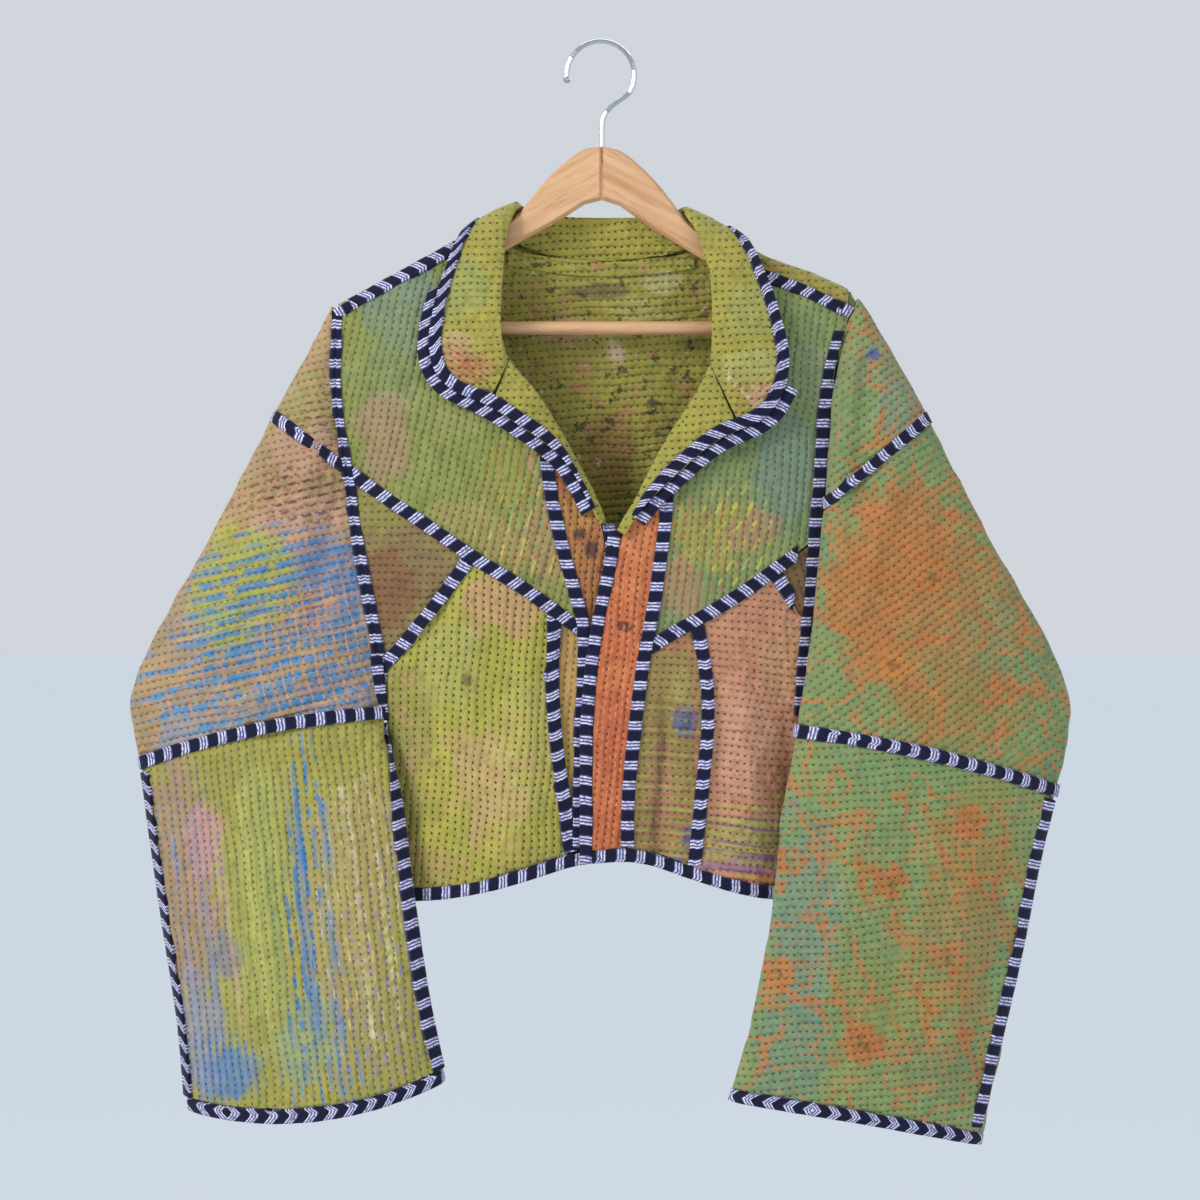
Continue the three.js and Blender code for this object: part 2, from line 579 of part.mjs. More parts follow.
// A binding laid over a seam of a front.
function frontStrip(side, line, { width = BINDING_WIDTH, low = ON_TOP.low, high = ON_TOP.high } = {}) {
  const places = stations(line);
  const offsets = [-width / 2, 0, width / 2];
  const spots = places.map(({ x, z, side: out }) => offsets.map((o) => ({ x: x + out.x * o, z: z + out.z * o })));
  const points = spots.map((row) => row.map(({ x, z }) => frontPoint(side, x, z)));
  const normals = spots.map((row) => row.map(({ x, z }) => frontNormal(side, x, z)));
  return slab(points, normals, low, high);
}

// The same strip grown by the seam gap, to cut what ends against it.
const GROWN = { width: BINDING_WIDTH + 2 * SEAM_GAP, low: WALL / 2 - 3, high: WALL / 2 + 6 };

// Lines of the left and right fronts
const LAPEL_ROWS = {
  l: [
    { rx: -74.3, rz: -254, ex: -88.5, ez: -294, lift: 7.5, under: 9 },
    { rx: -62, rz: -269.5, ex: -71.5, ez: -306, lift: 7.5, under: 9 },
    { rx: -50, rz: -284, ex: -58, ez: -315, lift: 7.5, under: 9 },
    { rx: -35, rz: -311, ex: -44, ez: -325, lift: 7, under: 8 },
    { rx: -19, rz: -339, ex: -25, ez: -342.5, lift: 6.5, under: 6 },
    { rx: -6, rz: -365, ex: -11.5, ez: -368, lift: 6.5, under: 5.5 },
    { rx: 3.5, rz: -387, ex: -2, ez: -390, lift: 6.5, under: 5.5 },
  ],
  r: [
    { rx: 86.5, rz: -258, ex: 109.5, ez: -313, lift: 7.5, under: 8 },
    { rx: 79, rz: -275, ex: 98.5, ez: -318, lift: 7.5, under: 8 },
    { rx: 67, rz: -294, ex: 85, ez: -326.5, lift: 7.5, under: 8 },
    { rx: 53.5, rz: -315, ex: 68, ez: -341, lift: 7.5, under: 8 },
    { rx: 38.5, rz: -346, ex: 48.5, ez: -358.5, lift: 7, under: 7 },
    { rx: 25.5, rz: -370, ex: 32, ez: -375, lift: 6.5, under: 6.5 },
    { rx: 12, rz: -394, ex: 17.5, ez: -398, lift: 6.5, under: 6 },
  ],
};
const TURN = 3.5;
const turnPoint = ({ rx, rz, ex, ez }) => {
  const length = Math.hypot(ex - rx, ez - rz);
  return { x: rx + ((ex - rx) / length) * TURN, z: rz + ((ez - rz) / length) * TURN };
};
const armholeLine = (side) => new Line(ARMHOLES[side].front.map((row) => drawnBack(side, row)));
const sideLine = (side) => {
  const foot = drawnBack(side, HEM_SEAM[side]);
  const z = hem(foot.x).z + HEM_WIDTH + HEM_GAP;
  const start = drawnBack(side, ARMHOLES[side].front[ARMHOLE_SAMPLES]);
  const middle = SIDE_SEAMS[side].slice(0, -1).map((row) => drawnBack(side, row));
  return Line.through([start, ...middle, { x: foot.x, z }]);
};
const onHem = (x) => ({ x, z: hem(x).z + HEM_WIDTH + HEM_GAP });
const LINES = {
  l: {
    shoulder: Line.through([{ x: -214.5, z: -217.8 }, { x: -160, z: -188 }, { x: -107, z: -158.8 },
      { x: -98.5, z: -154.3 }]),
    neck: Line.through([{ x: -98.5, z: -154.3 }, { x: -98.5, z: -175 }, { x: -96.5, z: -210 }, { x: -91, z: -234 },
      { x: -83, z: -249.5 }, turnPoint(LAPEL_ROWS.l[0])]),
    turn: Line.through(LAPEL_ROWS.l.map(turnPoint)),
    bandSeam: Line.through([{ x: -44.5, z: -303 }, { x: -45.3, z: -327.5 }, { x: -36.1, z: -386.6 },
      { x: -22.8, z: -439.7 }, { x: -14.6, z: -468 }, { x: -15.2, z: -512.7 }, { x: -17.6, z: -576.7 }, onHem(-18.5)]),
    edge: Line.through([turnPoint(LAPEL_ROWS.l[6]), { x: 4, z: -415 }, { x: 7, z: -470 }, { x: 9, z: -560 }, onHem(10)]),
    diagonal: Line.through([{ x: -205.9, z: -344 }, { x: -177, z: -364.6 }, { x: -148.5, z: -383 },
      { x: -95.4, z: -419.7 }, { x: -67.7, z: -435.7 }, { x: -14.6, z: -474.3 }]),
    short: Line.through([{ x: -104, z: -413.5 }, { x: -124.7, z: -441.7 }, { x: -161.5, z: -486.6 }, { x: -178, z: -503 }]),
    princess: Line.through([{ x: -37.6, z: -457.6 }, { x: -39.6, z: -523.3 }, { x: -34, z: -580.3 },
      { x: -30.5, z: -606 }, onHem(-25)]),
  },
  r: {
    shoulder: Line.through([{ x: 98.5, z: -175.6 }, { x: 135, z: -189.5 }, { x: 168.9, z: -202 },
      { x: 201.5, z: -218.8 }]),
    neck: Line.through([{ x: 98.5, z: -175.6 }, { x: 99.5, z: -203 }, { x: 99.5, z: -230 }, { x: 97, z: -248 },
      turnPoint(LAPEL_ROWS.r[0])]),
    turn: Line.through(LAPEL_ROWS.r.map(turnPoint)),
    bandSeam: Line.through([{ x: 52.5, z: -323.5 }, { x: 53, z: -345 }, { x: 50.4, z: -386.8 }, { x: 42.2, z: -447.9 },
      { x: 32.1, z: -502.8 }, { x: 25, z: -563.8 }, { x: 21, z: -604.5 }, onHem(20.5)]),
    edge: Line.through([turnPoint(LAPEL_ROWS.r[6]), { x: 11.5, z: -421 }, { x: 0.5, z: -473 }, { x: -6.6, z: -533 },
      { x: -7.8, z: -574 }, onHem(-7.8)]),
    diagonal: Line.through([{ x: 34.7, z: -489 }, { x: 64.8, z: -470.3 }, { x: 111.6, z: -443.8 }, { x: 141, z: -422 },
      { x: 161.3, z: -408.8 }, { x: 181, z: -396 }]),
    short: Line.through([{ x: 137, z: -424.8 }, { x: 152.8, z: -448.2 }, { x: 170.5, z: -478 }]),
    princess: Line.through([{ x: 75, z: -464.6 }, { x: 84.1, z: -517.1 }, { x: 84.5, z: -555 }, { x: 80.4, z: -593.8 },
      onHem(73.5)]),
  },
};
// Ends a line on the lines that it meets.
function pinned(line, from, to) {
  const start = from ? from.at(from.nearest(line.first())) : line.first();
  const end = to ? to.at(to.nearest(line.last())) : line.last();
  const clear = ({ x, z }) => [start, end].every((tip) => Math.hypot(x - tip.x, z - tip.z) > 4);
  return new Line([start, ...line.points.slice(1, -1).filter(clear), end]);
}
for (const side of ['l', 'r']) {
  const s = LINES[side];
  s.armhole = armholeLine(side);
  s.side = sideLine(side);
  s.bandSeam = pinned(s.bandSeam, s.turn, null);
  s.diagonal = side === 'l' ? pinned(s.diagonal, s.armhole, s.bandSeam) : pinned(s.diagonal, s.bandSeam, s.armhole);
  s.short = pinned(s.short, s.diagonal, s.armhole);
  s.princess = pinned(s.princess, s.diagonal, null);
  const tip = new Line([s.armhole.first(), s.armhole.at(1)]);
  const toTip = { at: () => tip.first(), nearest: () => 0 };
  s.shoulder = side === 'l' ? pinned(s.shoulder, toTip, null) : pinned(s.shoulder, null, toTip);
}
const hemLine = (from, to) => {
  const count = 12;
  return new Line(Array.from({ length: count + 1 }, (_, i) => onHem(lerp(from, to, i / count))));
};
const straight = (a, b) => new Line([a, b]);
const meet = (line, point) => line.at(line.nearest(point));

// Panels of one front. The left one is listed first, and the right one has its sides swapped over.
const TIP_CUT = 3;
function frontPanels(side) {
  const s = LINES[side];
  const bandTop = meet(s.turn, s.bandSeam.first());
  const armholeTip = s.armhole.first();
  const armJoin = meet(s.armhole, side === 'l' ? s.diagonal.first() : s.diagonal.last());
  const bandJoin = meet(s.bandSeam, side === 'l' ? s.diagonal.last() : s.diagonal.first());
  const shortTop = meet(s.diagonal, s.short.first());
  const shortFoot = meet(s.armhole, s.short.last());
  const princessTop = meet(s.diagonal, s.princess.first());
  const underarm = s.armhole.last();
  const neckEnd = s.neck.last();
  const bandUpper = s.bandSeam.between(bandTop, bandJoin);
  const bandLower = s.bandSeam.between(bandJoin, s.bandSeam.last());
  const outerEdge = [s.armhole.between(shortFoot, underarm), s.side];
  const hemFrom = (a, b) => [hemLine(a.last().x, b.last().x)];
  const near = (line, point) => line.at(line.nearest(point) + (line.nearest(point) > line.length / 2 ? -TIP_CUT : TIP_CUT));
  const tipOnShort = near(s.short, shortTop);
  const towardArm = side === 'l' ? -TIP_CUT : TIP_CUT;
  const tipOnDiagonal = s.diagonal.at(s.diagonal.nearest(shortTop) + towardArm);
  const inner = [s.neck, s.turn.between(neckEnd, bandTop), bandUpper];
  if (side === 'l') {
    return {
      yoke: { top: [s.shoulder], left: [s.armhole.between(armholeTip, armJoin)], right: inner,
        bottom: [s.diagonal.between(armJoin, bandJoin)], extra: [0.5, 0.4] },
      side: { top: [s.diagonal.between(armJoin, tipOnDiagonal)], left: [s.armhole.between(armJoin, shortFoot)],
        right: [straight(tipOnDiagonal, tipOnShort)], bottom: [s.short.between(shortFoot, tipOnShort)] },
      lower: { top: [s.short.between(shortFoot, shortTop), s.diagonal.between(shortTop, princessTop)],
        left: outerEdge, right: [s.princess], bottom: hemFrom(s.side, s.princess) },
      princess: { top: [s.diagonal.between(princessTop, bandJoin)], left: [s.princess], right: [bandLower],
        bottom: hemFrom(s.princess, s.bandSeam) },
      band: { top: [s.turn.between(bandTop, s.turn.last())], left: [bandUpper, bandLower], right: [s.edge],
        bottom: hemFrom(s.bandSeam, s.edge) },
    };
  }
  return {
    yoke: { top: [s.shoulder], right: [s.armhole.between(armholeTip, armJoin)], left: inner,
      bottom: [s.diagonal.between(bandJoin, armJoin)], extra: [0.5] },
    side: { top: [s.diagonal.between(tipOnDiagonal, armJoin)], right: [s.armhole.between(armJoin, shortFoot)],
      left: [straight(tipOnDiagonal, tipOnShort)], bottom: [s.short.between(tipOnShort, shortFoot)] },
    lower: { top: [s.diagonal.between(princessTop, shortTop), s.short.between(shortTop, shortFoot)],
      right: outerEdge, left: [s.princess], bottom: hemFrom(s.princess, s.side) },
    princess: { top: [s.diagonal.between(bandJoin, princessTop)], right: [s.princess], left: [bandLower],
      bottom: hemFrom(s.bandSeam, s.princess) },
    band: { top: [s.turn.between(s.turn.last(), bandTop)], right: [bandUpper, bandLower], left: [s.edge],
      bottom: hemFrom(s.edge, s.bandSeam) },
  };
}

// The back: one piece from the shoulder seams and the neck down to the hem.
const BACK_NECK = [{ x: -98, w: -5 }, { x: -97, w: 1 }, { x: -95.5, w: 7 }, { x: -92, w: 14 }, { x: -82, w: 27 },
  { x: -52, w: 41 }, { x: 0, w: 48 }, { x: 52, w: 40 }, { x: 83, w: 24 }, { x: 92.5, w: 12 }, { x: 96, w: 4 },
  { x: 97.8, w: -4 }, { x: 98.3, w: -13 }];
const BACK_SEAM_GAP = 0.6;
const shoulderReach = (side) => LINES[side].shoulder.points
  .map(({ x, z }) => ({ x, w: -reachOf(ridge(x).z - z) }));
function backTop() {
  const rows = [...shoulderReach('l'), ...BACK_NECK, ...shoulderReach('r')];
  return new Line(rows.map(({ x, w }) => ({ x, z: w })));
}
const SHOULDER_COLUMNS = 5;
const BACK_ROWS = [0, 3, 6, 9, 13, 18, 26, 38];
const BACK_BODY_ROWS = 8;

// Shares of the way along the back's top edge, with one at each point of the neck.
function backColumns(top) {
  const shoulders = { l: LINES.l.shoulder.points.length, r: LINES.r.shoulder.points.length };
  const neckStart = top.distances[shoulders.l - 1];
  const neckEnd = top.distances[top.points.length - shoulders.r];
  const steps = Array.from({ length: SHOULDER_COLUMNS }, (_, i) => i / SHOULDER_COLUMNS);
  const stops = [...steps.map((f) => neckStart * f),
    ...top.distances.slice(shoulders.l - 1, top.points.length - shoulders.r + 1),
    ...steps.map((f) => lerp(top.length, neckEnd, f)).reverse()];
  return stops.map((stop) => stop / top.length);
}

function backPanel() {
  const top = backTop();
  const edgeAt = (side, share) => {
    const { x: footX } = HEM_SEAM[side];
    const rows = [...ARMHOLES[side].back, ...SIDE_SEAMS[side].slice(0, -1),
      { x: footX, z: backHem(footX).z + HEM_WIDTH + HEM_GAP }];
    const line = new Line(rows.map(({ x, z }) => ({ x, z: reachOf(ridge(x).z - z) })));
    return line.at(line.length * share);
  };
  const crest = { l: top.first(), r: top.last() };
  const points = [];
  const normals = [];
  const columns = backColumns(top);
  const rowCount = BACK_ROWS.length + BACK_BODY_ROWS;
  for (let j = 0; j < rowCount; j += 1) {
    points.push([]);
    normals.push([]);
    for (const u of columns) {
      const start = top.at(top.length * u);
      const foot = { x: lerp(HEM_SEAM.l.x, HEM_SEAM.r.x, u) };
      foot.z = reachOf(ridge(foot.x).z - backHem(foot.x).z - HEM_WIDTH - HEM_GAP);
      const down = j < BACK_ROWS.length ? BACK_ROWS[j] : null;
      const share = down === null ? (j - BACK_ROWS.length + 1) / BACK_BODY_ROWS : 0;
      const firstW = start.z + BACK_ROWS[BACK_ROWS.length - 1];
      const w = down === null ? lerp(firstW, foot.z, share) : start.z + down;
      const edge = (side) => {
        const startW = side === 'l' ? crest.l.z : crest.r.z;
        const sideW = down === null
          ? lerp(startW + BACK_ROWS[BACK_ROWS.length - 1], edgeAt(side, 1).z, share) : startW + down;
        const line = side === 'l' ? BACK_EDGE.l : BACK_EDGE.r;
        return line(sideW);
      };
      const [left, right] = [edge('l'), edge('r')];
      const tops = { l: top.first().x, r: top.last().x };
      const straightX = lerp(tops.l, tops.r, u);
      const bend = (start.x - straightX) * (1 - share);
      const x = clamp(lerp(left, right, u) + bend, left, right);
      const shift = j === 0 ? BACK_SEAM_GAP : 0;
      points[j].push(backPoint(x, w + shift));
      normals[j].push(backNormal(x, w + shift));
    }
  }
  return slab(points, normals, -WALL / 2, WALL / 2);
}

// The back's side edges, as a place across for each distance over the shoulder fold.
const BACK_EDGE = Object.fromEntries(['l', 'r'].map((side) => {
  const rows = [...ARMHOLES[side].back, ...SIDE_SEAMS[side]].map((row) => {
    const { x, z } = drawnBack(side, row);
    return { x, w: reachOf(ridge(x).z - z) };
  });
  const last = rows[rows.length - 1];
  rows.push({ x: last.x, w: last.w + 20 });
  return [side, (w) => {
    if (w <= rows[0].w) return rows[0].x;
    let i = 1;
    while (i < rows.length - 1 && rows[i].w < w) i += 1;
    return lerp(rows[i - 1].x, rows[i].x, clamp((w - rows[i - 1].w) / (rows[i].w - rows[i - 1].w), 0, 1));
  }];
}));

// Sleeve pieces between two sections and two places round them.
const SLEEVE_STEP = 36;
const ARMHOLE_INSET = 0.3;
const INNER_SEAM_GAP = 0.55;
const CAP_SEAM_GAP = 0.4;

// Places between two ends of a section, close together near each end that is a fold.
function between(start, end, { startFold, endFold }) {
  const reach = end - start;
  const near = FOLD_STEPS.map((step) => Math.min(step, (reach * step) / (4 * FOLD_STEPS.at(-1))));
  const first = startFold ? near.map((step) => start + step) : [start + near.at(-1)];
  const last = endFold ? near.map((step) => end - step).reverse() : [end - near.at(-1)];
  const [low, high] = [first.at(-1), last[0]];
  return [start, ...first, ...MIDDLE_SHARES.map((f) => lerp(low, high, f)), ...last, end];
}
const FOLD_STEPS = [3.5, 10];
const MIDDLE_SHARES = [0.14, 0.38, 0.62, 0.86];

// Places round a section for the whole sleeve, or for its front or back half.
function placesRound(side, t, part) {
  const ring = sleeveRing(side, t);
  const whole = part === 'whole';
  const start = whole ? ARMHOLE_INSET : INNER_SEAM_GAP;
  const end = ring.length - start;
  const gap = SEAM_GAP / 2;
  const lead = side === 'r' ? [start, lerp(start, ring.inner, 0.5), ring.inner - Math.min(3.5, ring.inner / 4)] : [];
  const fold = side === 'r' ? ring.inner : start;
  const folds = { startFold: side === 'r', endFold: true };
  if (whole) {
    const front = between(fold, ring.outer, folds);
    const back = between(ring.outer, end, { startFold: true, endFold: false }).slice(1);
    return [...lead, ...front, ...back];
  }
  if (part === 'front') return [...lead, ...between(fold, ring.seam - gap, { ...folds, endFold: false })];
  const round = between(ring.outer, side === 'l' ? end - FOLD_AT_END : end, { startFold: true, endFold: side === 'l' });
  const rest = side === 'l' ? [end - FOLD_AT_END / 2, end] : [];
  return [ring.seam + gap, ring.outer - 2.5, ...round, ...rest];
}
const FOLD_AT_END = 6;

function sleeveLength(side, from, to) {
  const a = SLEEVE_TABLES[side](from);
  const b = SLEEVE_TABLES[side](to);
  return Math.max(Math.hypot(a.ix - b.ix, a.iz - b.iz), Math.hypot(a.ox - b.ox, a.oz - b.oz));
}

// Moves along a sleeve by millimetres at one place round it.
function stepAlong(side, t, share, distance) {
  const [low, high] = [Math.max(t - 0.02, 0), Math.min(t + 0.02, CUFF)];
  const place = (value) => {
    const ring = sleeveRing(side, value);
    return ring.at(share * ring.length);
  };
  return t + (distance * (high - low)) / place(high).distanceTo(place(low));
}

function sleevePiece(side, from, to, part, { startGap = SEAM_GAP / 2, endGap = SEAM_GAP / 2 } = {}) {
  const rows = Math.max(2, Math.ceil(sleeveLength(side, from, to) / SLEEVE_STEP));
  const points = [];
  const normals = [];
  for (let i = 0; i <= rows; i += 1) {
    const t = lerp(from, to, i / rows);
    const gap = i === 0 ? startGap : i === rows ? -endGap : 0;
    points.push([]);
    normals.push([]);
    placesRound(side, Math.min(t, part === 'whole' ? ELBOW - 1e-6 : CUFF), part).forEach((place) => {
      const share = place / sleeveRing(side, t).length;
      const moved = clamp(stepAlong(side, t, share, gap), 0, part === 'whole' ? ELBOW - 1e-6 : CUFF);
      const { point, normal } = sleeveAt(side, moved, share * sleeveRing(side, moved).length);
      points[i].push(point);
      normals[i].push(normal);
    });
  }
  return slab(points, normals, -WALL / 2, WALL / 2);
}

// A binding round a sleeve along one section.
function sleeveHoop(side, t, margin, lift = 0) {
  const [low, high] = [ON_TOP.low + lift, ON_TOP.high + lift];
  const open = t < ELBOW + 1e-3;
  const centre = open ? Math.min(t, ELBOW - 1e-6) : t;
  const ring = sleeveRing(side, centre);
  const [start, end] = [margin.front, ring.length - margin.back];
  const inside = placesRound(side, centre, 'whole').filter((place) => place > start + 1 && place < end - 1);
  const places = [start, ...inside, end];
  const points = [];
  const normals = [];
  for (const place of places) {
    const share = place / ring.length;
    points.push([]);
    normals.push([]);
    for (const offset of [-HALF, 0, HALF]) {
      const { point, normal } = sleeveAt(side, centre, place);
      const along = stepAlong(side, centre, share, offset);
      const moved = sleeveRing(side, clamp(along, 0, CUFF));
      const target = offset === 0 ? point : moved.at(share * moved.length);
      points[points.length - 1].push(target);
      normals[normals.length - 1].push(normal);
    }
  }
  return slab(points, normals, low, high);
}

// A binding along a sleeve over its inner or outer seam.
function sleeveSeamStrip(side, from, to, which) {
  const rows = Math.ceil(sleeveLength(side, from, to) / STRIP_STEP);
  const offsets = (which === 'outer' ? [-1, 0, 1] : [-1, -0.5, 0, 0.5, 1]).map((f) => f * HALF);
  const points = [];
  const normals = [];
  for (let i = 0; i <= rows; i += 1) {
    const t = lerp(from, to, i / rows);
    const ring = sleeveRing(side, t);
    const centre = which === 'outer' ? ring.seam : 0;
    points.push([]);
    normals.push([]);
    for (const offset of offsets) {
      let place = centre + offset;
      if (ring.closed) place = ((place % ring.length) + ring.length) % ring.length;
      const { point, normal } = sleeveAt(side, t, place);
      points[i].push(point);
      normals[i].push(normal);
    }
  }
  return slab(points, normals, ON_TOP.low, ON_TOP.high);
}

// The binding folded round a cuff, below the sleeve's own end.
const CUFF_STEPS = 32;
function cuffBand(side) {
  const points = [];
  const normals = [];
  for (let i = 0; i < CUFF_STEPS; i += 1) {
    const share = roundShare(i / CUFF_STEPS);
    points.push([]);
    normals.push([]);
    for (const offset of [-HEM_WIDTH, 0]) {
      const t = offset === 0 ? CUFF : stepAlong(side, CUFF, share, offset);
      const { point, normal } = sleeveAt(side, t, share * sleeveRing(side, t).length);
      points[i].push(point);
      normals[i].push(normal);
    }
  }
  return hoopSolid(points, normals, -EDGE_THICKNESS / 2, EDGE_THICKNESS / 2);
}

// Even places round a sleeve, drawn together at its inner and outer folds.
const roundShare = (f) => f - (0.055 * Math.sin(4 * Math.PI * f)) / Math.PI;

// A closed band: a hoop of rectangular section with no ends.
function hoopSolid(points, normals, low, high) {
  const count = points.length;
  const positions = [];
  for (let i = 0; i < count; i += 1) {
    const corners = [[0, low], [0, high], [1, high], [1, low]];
    for (const [j, offset] of corners) {
      const moved = points[i][j].clone().addScaledVector(normals[i][j], offset);
      positions.push(moved.x, moved.y, moved.z);
    }
  }
  const index = [];
  for (let i = 0; i < count; i += 1) {
    const next = (i + 1) % count;
    for (let k = 0; k < 4; k += 1) {
      const [a, b] = [i * 4 + k, i * 4 + ((k + 1) % 4)];
      const [c, d] = [next * 4 + ((k + 1) % 4), next * 4 + k];
      index.push(a, b, c, a, c, d);
    }
  }
  return facingOut(positions, index);
}

// The binding over an armhole seam: half on the sleeve, half on the body.
const HOOP_CLEARANCE = 0.13;
const STRIP_ENDS = { front: 4.42, back: 4.1 };

// The right front's armhole is behind the sleeve's fold, so its binding lies beside the seam.
const BESIDE = { clearance: 1.2, rise: 3.4, width: 8 };
function besideArmhole({ low = ON_TOP.low, high = ON_TOP.high, grow = 0 } = {}) {
  const rows = ARMHOLES.r.front.filter((_, i) => i % 2 === 0 && i > 1 && i < ARMHOLE_SAMPLES - 1);
  const spots = rows.map(({ x, z, inset, overhang }) => {
    const near = x - inset - BESIDE.clearance - overhang * BESIDE.rise;
    return [near + grow, near - BESIDE.width / 2, near - BESIDE.width - grow].map((place) => ({ x: place, z }));
  });
  const points = spots.map((row) => row.map(({ x, z }) => frontPoint('r', x, z)));
  const normals = spots.map((row) => row.map(({ x, z }) => frontNormal('r', x, z)));
  return slab(points, normals, low, high);
}

function armholeStrip(side, face, { low = ON_TOP.low, high = ON_TOP.high, grow = 0 } = {}) {
  const points = [];
  const normals = [];
  const count = 16;
  const inward = side === 'l' ? 1 : -1;
  for (let i = 0; i <= count; i += 1) {
    const t = lerp(0.03, STRIP_ENDS[face], i / count);
    const ring = sleeveRing(side, t);
    const reach = Math.min(HALF, ring.length / 3);
    const seamPlace = face === 'front' ? 0 : ring.length;
    const sleevePlace = (share) => (face === 'front' ? reach * share : ring.length - reach * share);
    const onSleeve = sleeveAt(side, t, sleevePlace(1));
    const nearSeam = sleeveAt(side, t, sleevePlace(0.45));
    const seam = sleeveAt(side, t, seamPlace);
    const x = seam.point.x + inward * (HALF + grow);
    const bodySide = face === 'front'
      ? { point: frontPoint(side, x, seam.point.z), normal: frontNormal(side, x, seam.point.z) }
      : (() => {
        const w = reachOf(ridge(x).z - seam.point.z);
        return { point: backPoint(x, w), normal: backNormal(x, w) };
      })();
    const between = onSleeve.normal.clone().add(bodySide.normal).normalize();
    const spread = 1 / Math.max(0.72, between.dot(bodySide.normal.clone().normalize()));
    points.push([onSleeve.point, nearSeam.point, seam.point, bodySide.point]);
    normals.push([onSleeve.normal, nearSeam.normal, between.multiplyScalar(spread), bodySide.normal]);
  }
  return slab(points, normals, low, high);
}

// Collar sections from the left lapel round the neck to the right lapel: the neck seam (n), the
// roll (r) and the outer edge (e).
const COLLAR_ROWS = [
  { nx: -85.5, ny: -27, nz: -248, rx: -75.8, ry: -37.5, rz: -249, ex: -107, ey: -36, ez: -286.5 },
  { nx: -89, ny: -25, nz: -240, rx: -76.6, ry: -37, rz: -243, ex: -127, ey: -35, ez: -277 },
  { nx: -91, ny: -23, nz: -228, rx: -77.4, ry: -36, rz: -234, ex: -138, ey: -34, ez: -257 },
  { nx: -92.5, ny: -20, nz: -210, rx: -78.5, ry: -32, rz: -212, ex: -137.5, ey: -31, ez: -230 },
  { nx: -93.5, ny: -16, nz: -187, rx: -78.5, ry: -27, rz: -180, ex: -130, ey: -26, ez: -197 },
  { nx: -94, ny: -12, nz: -160, rx: -76, ry: -18, rz: -149, ex: -120, ey: -21, ez: -170 },
  { nx: -93.5, ny: -9, nz: -150, rx: -70, ry: -10, rz: -134.5, ex: -113, ey: -12, ez: -156 },
  { nx: -91, ny: 0, nz: -140.5, rx: -66, ry: -2, rz: -127.5, ex: -107, ey: -1, ez: -143.5 },
  { nx: -77, ny: 14, nz: -156, rx: -63, ry: 9.5, rz: -129, ex: -94, ey: 24, ez: -162 },
  { nx: -50, ny: 18.5, nz: -170.5, rx: -38, ry: 14, rz: -135.5, ex: -62, ey: 33, ez: -190 },
  { nx: 0, ny: 20.5, nz: -175, rx: 0, ry: 17, rz: -138, ex: 0, ey: 36, ez: -200 },
  { nx: 50, ny: 18.5, nz: -171.5, rx: 38, ry: 14, rz: -137.5, ex: 62, ey: 33, ez: -193 },
  { nx: 80, ny: 15, nz: -161, rx: 61.5, ry: 9.5, rz: -131.5, ex: 92, ey: 22, ez: -168 },
  { nx: 92, ny: 1, nz: -147.5, rx: 65, ry: -1, rz: -130.5, ex: 109, ey: -1, ez: -151 },
  { nx: 94, ny: -9, nz: -155.5, rx: 69, ry: -10, rz: -141.5, ex: 116, ey: -12, ez: -160 },
  { nx: 94.5, ny: -13, nz: -174, rx: 78, ry: -17, rz: -158, ex: 124, ey: -22, ez: -172 },
  { nx: 95.5, ny: -16, nz: -196, rx: 86, ry: -27, rz: -190, ex: 137, ey: -27, ez: -203 },
  { nx: 95.5, ny: -21, nz: -222, rx: 88.5, ry: -33, rz: -220, ex: 147, ey: -31, ez: -238 },
  { nx: 94.5, ny: -24, nz: -240, rx: 88.5, ry: -36, rz: -240, ex: 150, ey: -35, ez: -264 },
  { nx: 93.3, ny: -26, nz: -250, rx: 88, ry: -37.5, rz: -249, ex: 142, ey: -36, ez: -291 },
  { nx: 92, ny: -27, nz: -257, rx: 87.3, ry: -38, rz: -254, ex: 126, ey: -36, ez: -307 },
];
const ROLL_RADIUS = 2.6;
const COLLAR_BULGE = 3;
const SECTION_SHARES = [0, 0.14, 0.26, 0.34, 0.42, 0.52, 0.75, 1];
const NEAR_START = 2.3;
const END_GAP = 0.006;
const NARROW_STATIONS = 13;

function lapelSection(side, row) {
  const turn = turnPoint(row);
  const base = frontPoint(side, turn.x, turn.z);
  const surface = frontPoint(side, row.rx, row.rz);
  const edge = frontPoint(side, row.ex, row.ez);
  return {
    n: base, r: vector(row.rx, surface.y - row.lift / 2, row.rz), e: vector(row.ex, edge.y - row.lift, row.ez),
  };
}

// Rows of the collar, with the lapels' first rows at its two ends.
const collarSections = () => [
  lapelSection('l', LAPEL_ROWS.l[0]),
  ...COLLAR_ROWS.map((row) => ({
    n: vector(row.nx, row.ny, row.nz), r: vector(row.rx, row.ry, row.rz), e: vector(row.ex, row.ey, row.ez),
  })),
  lapelSection('r', LAPEL_ROWS.r[0]),
];

